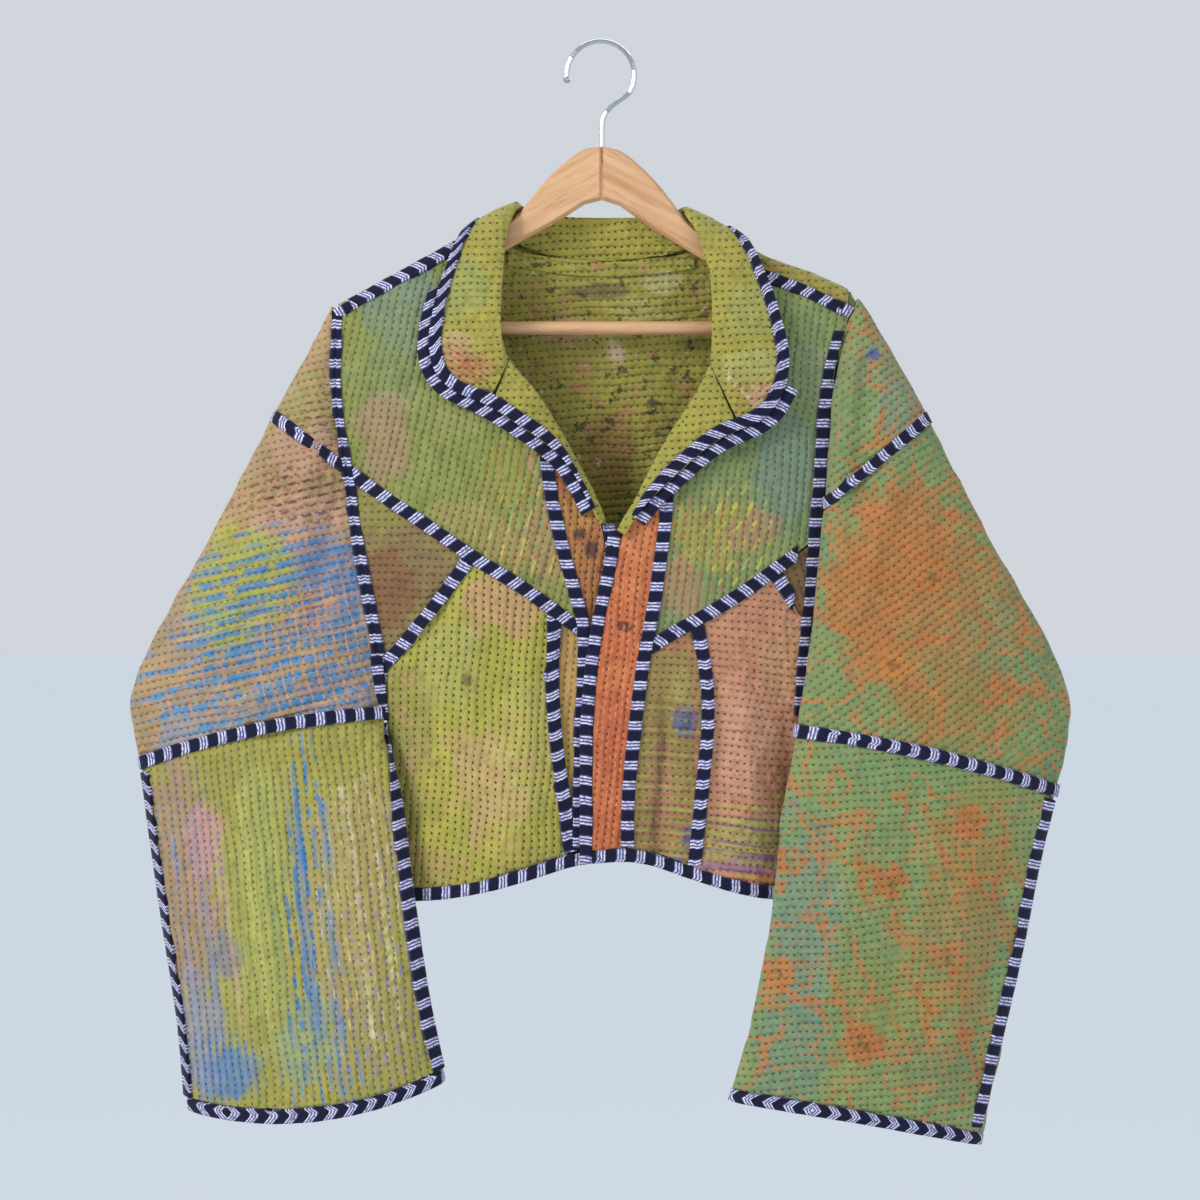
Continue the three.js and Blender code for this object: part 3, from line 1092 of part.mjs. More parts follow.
// A point of the turned down cloth, by section (along) and by way from its seam to its edge (share).
function turnedCloth(sections, bulge) {
  const rails = ['n', 'r', 'e'].map((key) => new THREE.CatmullRomCurve3(sections.map((s) => s[key]), false, 'centripetal'));
  const cache = new Map();
  const sectionAt = (along) => {
    const key = along.toFixed(5);
    if (cache.has(key)) return cache.get(key);
    const [n, r, e] = rails.map((rail) => rail.getPoint(clamp(along, 0, 1)));
    const rising = r.clone().sub(n).normalize();
    const falling = e.clone().sub(r).normalize();
    const outward = rising.clone().sub(falling).normalize();
    const over = rising.clone().add(falling).normalize();
    const crown = r.clone().addScaledVector(outward, -ROLL_RADIUS).addScaledVector(over, ROLL_RADIUS);
    const lifted = over.clone().addScaledVector(falling, -over.dot(falling)).normalize();
    const middle = crown.clone().lerp(e, 0.5).addScaledVector(lifted, bulge);
    const stand = n.clone().lerp(r, 0.55);
    const curve = new THREE.CatmullRomCurve3([n, stand, r, crown, middle, e], false, 'centripetal');
    curve.arcLengthDivisions = 60;
    cache.set(key, curve);
    return curve;
  };
  return { sectionAt };
}

function turnedNormals(points, sign) {
  return points.map((line, i) => line.map((_, j) => {
    const before = points[Math.max(i - 1, 0)][j];
    const after = points[Math.min(i + 1, points.length - 1)][j];
    const inner = line[Math.max(j - 1, 0)];
    const outer = line[Math.min(j + 1, line.length - 1)];
    return after.clone().sub(before).cross(outer.clone().sub(inner)).normalize().multiplyScalar(sign);
  }));
}

const COLLAR = { cloth: turnedCloth(collarSections(), COLLAR_BULGE), stations: 27 };
const LAPELS = {
  l: { cloth: turnedCloth(LAPEL_ROWS.l.map((row) => lapelSection('l', row)), 1), stations: 10 },
  r: { cloth: turnedCloth(LAPEL_ROWS.r.map((row) => lapelSection('r', row)), 1), stations: 10 },
};

function turnedPiece({ cloth, stations: count }, sign, start) {
  const points = Array.from({ length: count + 1 }, (_, i) => {
    const along = lerp(END_GAP, 1 - END_GAP, i / count);
    const section = cloth.sectionAt(along);
    const first = start / section.getLength();
    return SECTION_SHARES.map((share) => section.getPointAt(lerp(first, 1, share)));
  });
  return slab(points, turnedNormals(points, sign), -WALL / 2, WALL / 2);
}

// Stations along the outer edge of the turned cloth, with the edge point, the way in from it and
// the face's normal.
function edgeStations({ cloth, stations: count }, sign) {
  const at = (along) => cloth.sectionAt(clamp(along, 0, 1));
  return Array.from({ length: count + 1 }, (_, i) => {
    const along = lerp(END_GAP, 1 - END_GAP, i / count);
    const section = at(along);
    const edge = section.getPoint(1);
    const [before, after] = [at(along - 0.01).getPoint(1), at(along + 0.01).getPoint(1)];
    const inward = section.getPoint(0.97).sub(edge).normalize();
    const normal = after.sub(before).cross(inward.clone().negate()).normalize().multiplyScalar(sign);
    const length = section.getLength();
    const inside = (distance) => section.getPointAt(clamp(1 - distance / length, 0, 1));
    return { edge, inward, normal, inside, length };
  });
}

function faceRow(list, width) {
  const points = list.map((station) => [0, 0.5, 1].map((f) => station.inside(0.1 + width(station) * f)));
  const normals = list.map(({ normal }) => [normal, normal, normal]);
  return slab(points, normals, ON_TOP.low + ROW_LIFT, ON_TOP.high + ROW_LIFT);
}
const ROW_LIFT = 0.5;

function underRow(list) {
  const points = list.map(({ edge, inward }) => [UNDER_GAP, UNDER_WIDTH].map((d) => edge.clone().addScaledVector(inward, -d)));
  const normals = list.map(({ normal }) => [normal, normal]);
  return slab(points, normals, -EDGE_THICKNESS / 2 + 0.6, EDGE_THICKNESS / 2 - 0.6);
}

// The bindings folded round the front edges and the hem: bars beside the cloth's own edge.
function edgeBar(side, line, sign) {
  const places = stations(line);
  const spots = places.map(({ x, z, side: out }) => [SEAM_GAP / 2, BINDING_WIDTH]
    .map((d) => ({ x: x + out.x * d * sign, z: z + out.z * d * sign })));
  const points = spots.map((row) => row.map(({ x, z }) => frontPoint(side, x, z)));
  const normals = spots.map((row) => row.map(() => vector(0, -1, 0)));
  return slab(points, normals, -EDGE_THICKNESS / 2, EDGE_THICKNESS / 2);
}

function hemBar(side, from, to) {
  const count = Math.ceil(Math.abs(to - from) / STRIP_STEP) + 2;
  const points = Array.from({ length: count + 1 }, (_, i) => {
    const x = lerp(from, to, i / count);
    const z = hem(x).z;
    return [frontPoint(side, x, z + HEM_WIDTH), frontPoint(side, x, z)];
  });
  const normals = points.map(() => [vector(0, -1, 0), vector(0, -1, 0)]);
  return slab(points, normals, -EDGE_THICKNESS / 2, EDGE_THICKNESS / 2);
}

function backHemBar() {
  const [from, to] = [HEM_ENDS.l.from + 1, HEM_ENDS.r.to - 1];
  const inside = backColumns(backTop()).map((share) => lerp(HEM_SEAM.l.x, HEM_SEAM.r.x, share));
  const places = [from, ...inside.filter((x) => x > from + 2 && x < to - 2), to];
  const points = places.map((x) => {
    return [HEM_WIDTH, 0].map((up) => {
      const w = reachOf(ridge(x).z - backHem(x).z - up);
      return backPoint(x, w);
    });
  });
  const normals = points.map(() => [vector(0, 1, 0), vector(0, 1, 0)]);
  return slab(points, normals, -EDGE_THICKNESS / 2, EDGE_THICKNESS / 2);
}

// The binding over a shoulder seam, curved with the fold.
const SHOULDER_END = 8.5;
function shoulderStrip(side) {
  const { shoulder } = LINES[side];
  const [from, to] = side === 'l' ? [SHOULDER_END, shoulder.length] : [0, shoulder.length - SHOULDER_END];
  const places = stations(shoulder.between(shoulder.at(from), shoulder.at(to)));
  const offsets = [-1, -0.5, 0, 0.5, 1].map((f) => f * HALF);
  const spots = places.map(({ x, z }) => offsets.map((o) => ({ x, w: -reachOf(ridge(x).z - z) + o })));
  const points = spots.map((row) => row.map(({ x, w }) => backPoint(x, w)));
  const normals = spots.map((row) => row.map(({ x, w }) => backNormal(x, w)));
  return slab(points, normals, ON_TOP.low, ON_TOP.high);
}

// The tape over the neck seam, on the inside of the back.
const TAPE = { halfReach: 78, drop: 3, thickness: 1.2, gap: 0.5, steps: 10 };
function neckTape() {
  const { halfReach, drop, thickness, gap, steps } = TAPE;
  const top = Line.through(BACK_NECK.map(({ x, w }) => ({ x, z: w })));
  const line = new Line(top.points.filter(({ x }) => Math.abs(x) <= halfReach));
  const spots = Array.from({ length: steps + 1 }, (_, i) => {
    const { x, z } = line.at((line.length * i) / steps);
    return [drop, drop + TAPE_WIDTH / 2, drop + TAPE_WIDTH].map((d) => ({ x, w: z + d }));
  });
  const points = spots.map((row) => row.map(({ x, w }) => backPoint(x, w)));
  const normals = spots.map((row) => row.map(({ x, w }) => backNormal(x, w)));
  const near = -WALL / 2 - gap;
  return slab(points, normals, near - thickness, near);
}

// Hanger: two mitred halves of wood, a bar between their ends and a wire hook.
const WOOD_NECK = [{ x: 0, z: -81.8 }, { x: 14, z: -84.5 }, { x: 26, z: -92.3 }, { x: 42, z: -107 },
  { x: 57, z: -125 }, { x: 66, z: -137 }, { x: 76, z: -146 }];
const WOOD_FOOT = [
  { x: 199, z: -213 }, { x: 198.5, z: -230 }, { x: 194, z: -237 }, { x: 186, z: -238.5 }, { x: 179.5, z: -236 },
  { x: 179.5, z: -221 }, { x: 150, z: -206 }, { x: 80, z: -169.5 }, { x: 40, z: -146 }, { x: 14, z: -128.5 },
  { x: 0, z: -124.7 },
];
const FOOT_LEVEL = 7;
const WOOD_UNDER_CLOTH = { from: 94, to: 198, drop: 6.8, steps: 8 };
const WOOD_EDGE = { round: 3, inward: 2.2 };
const MITRE_GAP = 0.15;
const SOCKET = 0.3;
const TILT = 0.035;

// Half of the wood; the cloth's fold rests on its top edge.
function woodHalf(sign) {
  const { from, to, drop, steps } = WOOD_UNDER_CLOTH;
  const covered = Array.from({ length: steps + 1 }, (_, i) => {
    const x = lerp(from, to, i / steps);
    return { x, z: ridge(sign * x).z - drop };
  });
  const tilted = ({ x, z }) => ({ x, z: z - sign * TILT * x });
  const neck = Line.through(WOOD_NECK).points.filter((_, i) => i % 5 === 0).map(tilted);
  const shape = new THREE.Shape();
  [...neck, ...covered, ...WOOD_FOOT.slice(0, FOOT_LEVEL), ...WOOD_FOOT.slice(FOOT_LEVEL).map(tilted)].forEach(({ x, z }, i) => {
    const across = sign * Math.max(x, MITRE_GAP);
    if (i === 0) shape.moveTo(across, z);
    else shape.lineTo(across, z);
  });
  shape.closePath();
  const geometry = new THREE.ExtrudeGeometry(shape, {
    depth: WOOD_THICKNESS - 2 * WOOD_EDGE.round, bevelEnabled: true, bevelThickness: WOOD_EDGE.round,
    bevelSize: WOOD_EDGE.inward, bevelOffset: -WOOD_EDGE.inward, bevelSegments: 1, curveSegments: 1,
  });
  geometry.translate(0, 0, -WOOD_THICKNESS / 2 + WOOD_EDGE.round);
  geometry.rotateX(Math.PI / 2);
  return cutAway(geometry, [shankHole()]);
}

function hangerBar() {
  const geometry = new THREE.CylinderGeometry(BAR_DIAMETER / 2, BAR_DIAMETER / 2, 2 * BAR_HALF_LENGTH, 20);
  geometry.rotateZ(Math.PI / 2);
  geometry.translate(0, 0, BAR_Z);
  return geometry;
}

// The hook: a straight shank, a bend to the right, and a round arch that ends in a small ball.
function hookParts() {
  const arch = [];
  const radius = HOOK_RADIUS + WIRE_DIAMETER / 2;
  for (let degrees = -34; degrees <= 188; degrees += 18.5) {
    const angle = (degrees * Math.PI) / 180;
    arch.push(vector(HOOK_CENTRE.x + radius * Math.cos(angle), 0, HOOK_CENTRE.z + radius * Math.sin(angle)));
  }
  const shank = [vector(0, 0, -96), vector(0, 0, -70), vector(0.4, 0, -60), vector(5, 0, -51.5), vector(15, 0, -43.5)];
  const route = [...shank, ...arch];
  const curve = new THREE.CatmullRomCurve3(route, false, 'centripetal');
  const section = new THREE.Shape();
  section.absarc(0, 0, WIRE_DIAMETER / 2, 0, 2 * Math.PI);
  const wire = new THREE.ExtrudeGeometry(section, { steps: 28, curveSegments: 4, extrudePath: curve });
  const ball = new THREE.SphereGeometry(3.1, 10, 6);
  const tip = arch[arch.length - 1];
  ball.translate(tip.x, 0, tip.z);
  return fromManifold(toManifold(wire).add(toManifold(ball)));
}

function shankHole() {
  const radius = WIRE_DIAMETER / 2 + SOCKET;
  const hole = new THREE.CylinderGeometry(radius, radius, 40, 12);
  hole.rotateX(Math.PI / 2);
  hole.translate(0, 0, -80);
  return hole;
}

// Sizes that keep the bindings clear of each other.
const HEM_CLEARANCE = 1.2;
const BAND_START = 10;
const ELBOW_LIFT = 0.6;
const ELBOW_MARGIN = { l: { front: 14, back: 40 }, r: { front: 16, back: 26 } };
const CAP_MARGIN = { l: { front: 5.8, back: 5.8 }, r: { front: 6, back: 5.8 } };
const CUFF_CLEARANCE = 0.17;
const UNDER_WIDTH = 10;
const UNDER_GAP = 0.5;
const UNDER_STATIONS = { l: 16, r: 13 };
const HEM_ENDS = {
  l: { from: HEM_SEAM.l.x + 6, to: 9.7 },
  r: { from: -7.5, to: HEM_SEAM.r.x - 6 },
};

// The line of a front's edge, on down to the bottom of the hem.
function frontEdge(side) {
  const { edge } = LINES[side];
  const { x } = edge.last();
  return new Line([...edge.points, { x, z: hem(x).z }]);
}

// Stations round the whole outer edge, up the left lapel, round the collar and down the right lapel.
const ROW_STATIONS = [
  ...edgeStations(LAPELS.l, -1).reverse().slice(1, -1), ...edgeStations(COLLAR, 1),
  ...edgeStations(LAPELS.r, 1).slice(1, -1),
];
const ROW_SHORTFALL = 4;
const ROW_SHARE = 0.5;
const rowWidth = ({ length }) => Math.min(BINDING_WIDTH, (length - ROW_SHORTFALL) * ROW_SHARE);

// Assembly
const jacket = new THREE.Group();
const finish = (colour, roughness = 0.9, metalness = 0) => new THREE.MeshStandardMaterial({ color: colour, roughness, metalness });
function add(name, geometry, colour, roughness, metalness) {
  const mesh = new THREE.Mesh(geometry, finish(colour, roughness, metalness));
  mesh.name = name;
  jacket.add(mesh);
}

const PANEL_COLOURS = {
  l: { yoke: 'sage', side: 'brown', lower: 'olive', princess: 'straw', band: 'orange' },
  r: { yoke: 'sage', side: 'brown', lower: 'rose', princess: 'straw', band: 'orange' },
};
for (const side of ['l', 'r']) {
  for (const [name, edges] of Object.entries(frontPanels(side))) {
    add(`front_${name}_${side}`, frontPanel(side, edges), COLOURS[PANEL_COLOURS[side][name]]);
  }
  const tint = side === 'l' ? COLOURS.blue : COLOURS.green;
  add(`sleeve_cap_${side}`, sleevePiece(side, 0, CAP_SEAM, 'whole', { startGap: 0.4, endGap: CAP_SEAM_GAP }),
    tint);
  add(`sleeve_upper_${side}`, sleevePiece(side, CAP_SEAM, ELBOW, 'whole', { startGap: CAP_SEAM_GAP }), tint);
  for (const part of ['front', 'back']) {
    add(`sleeve_lower_${part}_${side}`, sleevePiece(side, ELBOW, CUFF, part, { endGap: HEM_WIDTH + HEM_GAP }), tint);
  }
}
add('back', backPanel(), COLOURS.olive);
add('neck_tape', neckTape(), COLOURS.straw);
add('collar', turnedPiece(COLLAR, 1, NEAR_START), COLOURS.olive);
add('lapel_l', turnedPiece({ ...LAPELS.l, stations: NARROW_STATIONS }, -1, NEAR_START), COLOURS.olive);
add('lapel_r', turnedPiece(LAPELS.r, 1, NEAR_START), COLOURS.olive);

const bind = (name, geometry) => add(`${name}_binding`, geometry, COLOURS.binding);
for (const side of ['l', 'r']) {
  const s = LINES[side];
  const frontArmhole = (options) => (side === 'l' ? armholeStrip('l', 'front', options) : besideArmhole(options));
  const armCut = frontArmhole({ ...GROWN, grow: SEAM_GAP + (side === 'r' ? BESIDE.width : 0) });
  const diagonalCut = frontStrip(side, s.diagonal, GROWN);
  const toHem = (line) => line.between(line.first(), line.at(line.length - HEM_CLEARANCE));
  const bandLine = toHem(s.bandSeam.between(s.bandSeam.at(BAND_START), s.bandSeam.last()));
  const bandCut = frontStrip(side, bandLine, GROWN);
  bind(`armhole_${side}`, frontArmhole());
  bind(`armhole_back_${side}`, armholeStrip(side, 'back'));
  bind(`shoulder_${side}`, shoulderStrip(side));
  bind(`diagonal_${side}`, cutAway(frontStrip(side, s.diagonal), [armCut, bandCut]));
  bind(`side_${side}`, cutAway(frontStrip(side, s.short), [armCut, diagonalCut]));
  bind(`princess_${side}`, cutAway(frontStrip(side, toHem(s.princess)), [diagonalCut, bandCut]));
  bind(`band_${side}`, frontStrip(side, bandLine));
  bind(`sleeve_cap_${side}`, sleeveHoop(side, CAP_SEAM, CAP_MARGIN[side]));
  bind(`elbow_${side}`, sleeveHoop(side, ELBOW, ELBOW_MARGIN[side], ELBOW_LIFT));
  bind(`sleeve_outer_${side}`, sleeveSeamStrip(side, ELBOW + HOOP_CLEARANCE, CUFF - CUFF_CLEARANCE, 'outer'));
  bind(`sleeve_inner_${side}`, sleeveSeamStrip(side, ELBOW + HOOP_CLEARANCE, CUFF - CUFF_CLEARANCE, 'inner'));
  bind(`cuff_${side}`, cuffBand(side));
  const facing = side === 'l' ? -1 : 1;
  bind(`front_edge_${side}`, edgeBar(side, frontEdge(side), -facing));
}
bind('hem_l', hemBar('l', HEM_ENDS.l.from, HEM_ENDS.l.to));
bind('hem_r', hemBar('r', HEM_ENDS.r.from, HEM_ENDS.r.to));
bind('hem_back', backHemBar());
bind('collar', faceRow(ROW_STATIONS, rowWidth));
bind('collar_under_l', underRow(ROW_STATIONS.slice(0, UNDER_STATIONS.l)));
bind('collar_under_r', underRow(ROW_STATIONS.slice(-UNDER_STATIONS.r)));

add('hanger_wood_l', woodHalf(-1), COLOURS.wood, 0.5);
add('hanger_wood_r', woodHalf(1), COLOURS.wood, 0.5);
add('hanger_bar', hangerBar(), COLOURS.wood, 0.5);
add('hook', hookParts(), COLOURS.wire, 0.25, 0.9);

export default jacket;
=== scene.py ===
"""Looks of a short quilted patchwork jacket that hangs on a wooden hanger.

Every cloth is a thin shell on the form of its solid, refined and given its folds, its puckers and
its print. Lengths in the tables are millimetres in the frame's own axes; Blender's are metres.
"""
import heapq
import logging
import math
from dataclasses import dataclass, field
from enum import Enum

import bmesh
import bpy
import numpy as np
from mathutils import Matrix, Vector
from mathutils.bvhtree import BVHTree


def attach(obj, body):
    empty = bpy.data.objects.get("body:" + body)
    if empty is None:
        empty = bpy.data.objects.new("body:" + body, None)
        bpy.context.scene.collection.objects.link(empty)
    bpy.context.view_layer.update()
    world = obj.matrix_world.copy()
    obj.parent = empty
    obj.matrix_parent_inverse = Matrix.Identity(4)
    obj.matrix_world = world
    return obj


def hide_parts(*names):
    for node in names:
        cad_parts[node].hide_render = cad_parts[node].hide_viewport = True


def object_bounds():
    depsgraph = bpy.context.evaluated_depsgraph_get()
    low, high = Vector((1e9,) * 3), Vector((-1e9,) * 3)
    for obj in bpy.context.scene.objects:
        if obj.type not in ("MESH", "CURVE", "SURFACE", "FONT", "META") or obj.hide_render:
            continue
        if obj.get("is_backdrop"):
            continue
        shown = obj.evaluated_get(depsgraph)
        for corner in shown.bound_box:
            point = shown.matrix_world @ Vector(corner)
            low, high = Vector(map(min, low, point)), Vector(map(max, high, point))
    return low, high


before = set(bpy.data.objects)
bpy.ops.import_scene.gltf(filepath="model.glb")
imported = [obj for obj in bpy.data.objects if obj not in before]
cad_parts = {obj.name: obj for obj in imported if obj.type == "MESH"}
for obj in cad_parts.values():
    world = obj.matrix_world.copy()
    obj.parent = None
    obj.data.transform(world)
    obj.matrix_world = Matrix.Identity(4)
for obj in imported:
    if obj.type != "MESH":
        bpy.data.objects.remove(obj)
SIZES = {"cad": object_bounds()}
LOG = logging.getLogger("jacket")

MM = 0.001
Colour = tuple[float, float, float]
Points = np.ndarray
Socket = bpy.types.NodeSocket

MERGE_DISTANCE = 2e-6  # metres, between vertices that are one
JOIN_BEND = 45  # degrees, most bend inside a joined face
JOIN_SHAPE = 170  # degrees, most that a joined face may differ from a rectangle
RIM_ANGLE = 52  # degrees, from here on an edge is a rim
RIDGE_BOTTOM = -165  # millimetres, the back's folds fade out up to here
RIDGE_FADE = 60
ROUND_FADE = 12
HASH_STEPS = (374761393, 668265263, 2147483647)
HASH_SEED_STEP = 974711
HASH_STIR = 1274126177


class Face(Enum):
    """Which way a cloth's folds are pushed."""

    FRONT = "front"
    BACK = "back"
    ROUND = "round"
    NONE = "none"


def srgb(code: str) -> Colour:
    """Turns a hex colour into linear red, green and blue."""
    parts = [int(code[i:i + 2], 16) / 255 for i in (0, 2, 4)]
    return tuple(c / 12.92 if c <= 0.04045 else ((c + 0.055) / 1.055) ** 2.4 for c in parts)


def rgba(code: str) -> tuple[float, float, float, float]:
    """Turns a hex colour into a solid linear colour for a socket."""
    return (*srgb(code), 1.0)


@dataclass(frozen=True)
class Fold:
    """A soft fold along a line, with its half width and how far it stands out."""

    x0: float
    z0: float
    x1: float
    z1: float
    width: float
    height: float


@dataclass(frozen=True)
class Patch:
    """A soft-edged oval of another colour."""

    x: float
    z: float
    rx: float
    rz: float
    colour: str
    strength: float = 0.8
    turn: float = 0.0


@dataclass(frozen=True)
class Streak:
    """A line of another colour, solid or broken into marks."""

    x0: float
    z0: float
    x1: float
    z1: float
    width: float
    colour: str
    strength: float = 0.8
    pitch: float = 0.0
    share: float = 0.5


@dataclass(frozen=True)
class Rows:
    """Rows of stripes or dots inside a soft-edged oval."""

    x: float
    z: float
    rx: float
    rz: float
    turn: float
    pitch: float
    width: float
    colour: str
    strength: float = 0.8
    dash: float = 0.0
    share: float = 0.5


@dataclass(frozen=True)
class Tangle:
    """Winding lines and blots of one colour, scattered over the cloth."""

    colour: str
    scale: float
    line: float
    blot: float
    strength: float = 0.8
    offset: float = 0.0


@dataclass(frozen=True)
class Print:
    """The colours of one cloth: two ground colours, patches and streaks; most are dye, and a dark streak can
    be painted shade in a crease.
    """

    ground: str
    second: str
    patches: tuple[Patch, ...] = ()
    streaks: tuple[Streak, ...] = ()
    grain: float = 26.0
    stretch: float = 1.0
    stitch: str = "3a2418"
    turn: float = 90.0
    amount: float = 0.7
    rows: float = 6.2
    lines: tuple[Rows, ...] = ()
    tangles: tuple[Tangle, ...] = ()


def hashed(cells: Points, seed: int) -> Points:
    """Gives an even, repeatable value from 0 to 1 for each whole-number cell.

    Args:
        cells: whole numbers, three to a cell.
        seed: picks the pattern.

    Returns:
        A value for each cell.
    """
    mixed = sum(cells[..., i] * step for i, step in enumerate(HASH_STEPS)) + seed * HASH_SEED_STEP
    mixed = (mixed ^ (mixed >> 13)) * HASH_STIR
    return ((mixed ^ (mixed >> 16)) & 0xFFFF) / 65535.0


def noise(places: Points, scale: float, seed: int) -> Points:
    """Smooth value noise.

    Args:
        places: points in millimetres, one row each.
        scale: size of a cell in millimetres.
        seed: picks the pattern.

    Returns:
        A value from -1 to 1 for each point.
    """
    at = places / scale + 1000.0
    low = np.floor(at).astype(np.int64)
    part = at - low
    part = part * part * (3 - 2 * part)
    total = np.zeros(len(places))
    for corner in range(8):
        bits = np.array([corner & 1, (corner >> 1) & 1, corner >> 2])
        weight = np.prod(np.where(bits, part, 1 - part), axis=1)
        total += weight * hashed(low + bits, seed)
    return 2 * total - 1


def fold_height(folds: tuple[Fold, ...], x: Points, z: Points) -> Points:
    """Adds up how far a set of folds stands out at each place.

    Args:
        folds: the folds.
        x: millimetres to the right.
        z: millimetres up.

    Returns:
        The height at each place, in millimetres.
    """
    total = np.zeros(len(x))
    for fold in folds:
        dx, dz = fold.x1 - fold.x0, fold.z1 - fold.z0
        share = np.clip(((x - fold.x0) * dx + (z - fold.z0) * dz) / (dx * dx + dz * dz), 0, 1)
        gap = np.hypot(x - fold.x0 - share * dx, z - fold.z0 - share * dz)
        ends = np.clip(np.minimum(share, 1 - share) * 5 + 0.25, 0, 1)
        total += fold.height * np.exp(-(gap / fold.width) ** 2) * ends
    return total


def dyed_with_painted_shade(design: Print, places: Points, seed: int) -> Points:
    """Colours of a print at each point, with the painted shade in its streaks.

    Args:
        design: the print.
        places: points in millimetres.
        seed: picks the mottling.

    Returns:
        Linear red, green and blue in rows.
    """
    turned = math.radians(design.turn)
    along = places[:, 0] * math.cos(turned) + places[:, 2] * math.sin(turned)
    across = -places[:, 0] * math.sin(turned) + places[:, 2] * math.cos(turned)
    flat = np.column_stack([along / design.stretch, places[:, 1] * 0.4, across])
    mottle = 0.5 + 0.42 * noise(flat, design.grain, seed) + 0.32 * noise(flat, design.grain * 0.37, seed + 1)
    mottle = np.clip(mottle, 0, 1)[:, None]
    colour = np.array(srgb(design.ground)) * (1 - mottle) + np.array(srgb(design.second)) * mottle
    ragged = 0.34 * noise(places, 17, seed + 2) + 0.22 * noise(places, 7, seed + 3)
    for patch in design.patches:
        a = math.radians(patch.turn)
        dx, dz = places[:, 0] - patch.x, places[:, 2] - patch.z
        u = (dx * math.cos(a) + dz * math.sin(a)) / patch.rx
        v = (-dx * math.sin(a) + dz * math.cos(a)) / patch.rz
        reach = np.sqrt(u * u + v * v) + ragged
        blend = (patch.strength * np.clip((1.12 - reach) / 0.3, 0, 1))[:, None]
        colour = colour * (1 - blend) + np.array(srgb(patch.colour)) * blend
    wobble = 1.3 * noise(places, 21, seed + 4)
    for streak in design.streaks:
        dx, dz = streak.x1 - streak.x0, streak.z1 - streak.z0
        length = math.hypot(dx, dz)
        reach = ((places[:, 0] - streak.x0) * dx + (places[:, 2] - streak.z0) * dz) / length
        share = np.clip(reach, 0, length)
        gap = np.hypot(places[:, 0] - streak.x0 - share * dx / length,
                       places[:, 2] - streak.z0 - share * dz / length) + wobble
        blend = streak.strength * np.clip((streak.width / 2 + 1.2 - gap) / 2.2, 0, 1)
        if streak.pitch:
            blend = blend * ((share / streak.pitch) % 1 < streak.share)
        blend = (blend * np.clip(0.8 + ragged, 0, 1))[:, None]
        colour = colour * (1 - blend) + np.array(srgb(streak.colour)) * blend
    return np.clip(colour * (1 + 0.10 * noise(places, 5, seed + 5))[:, None], 0, 1)


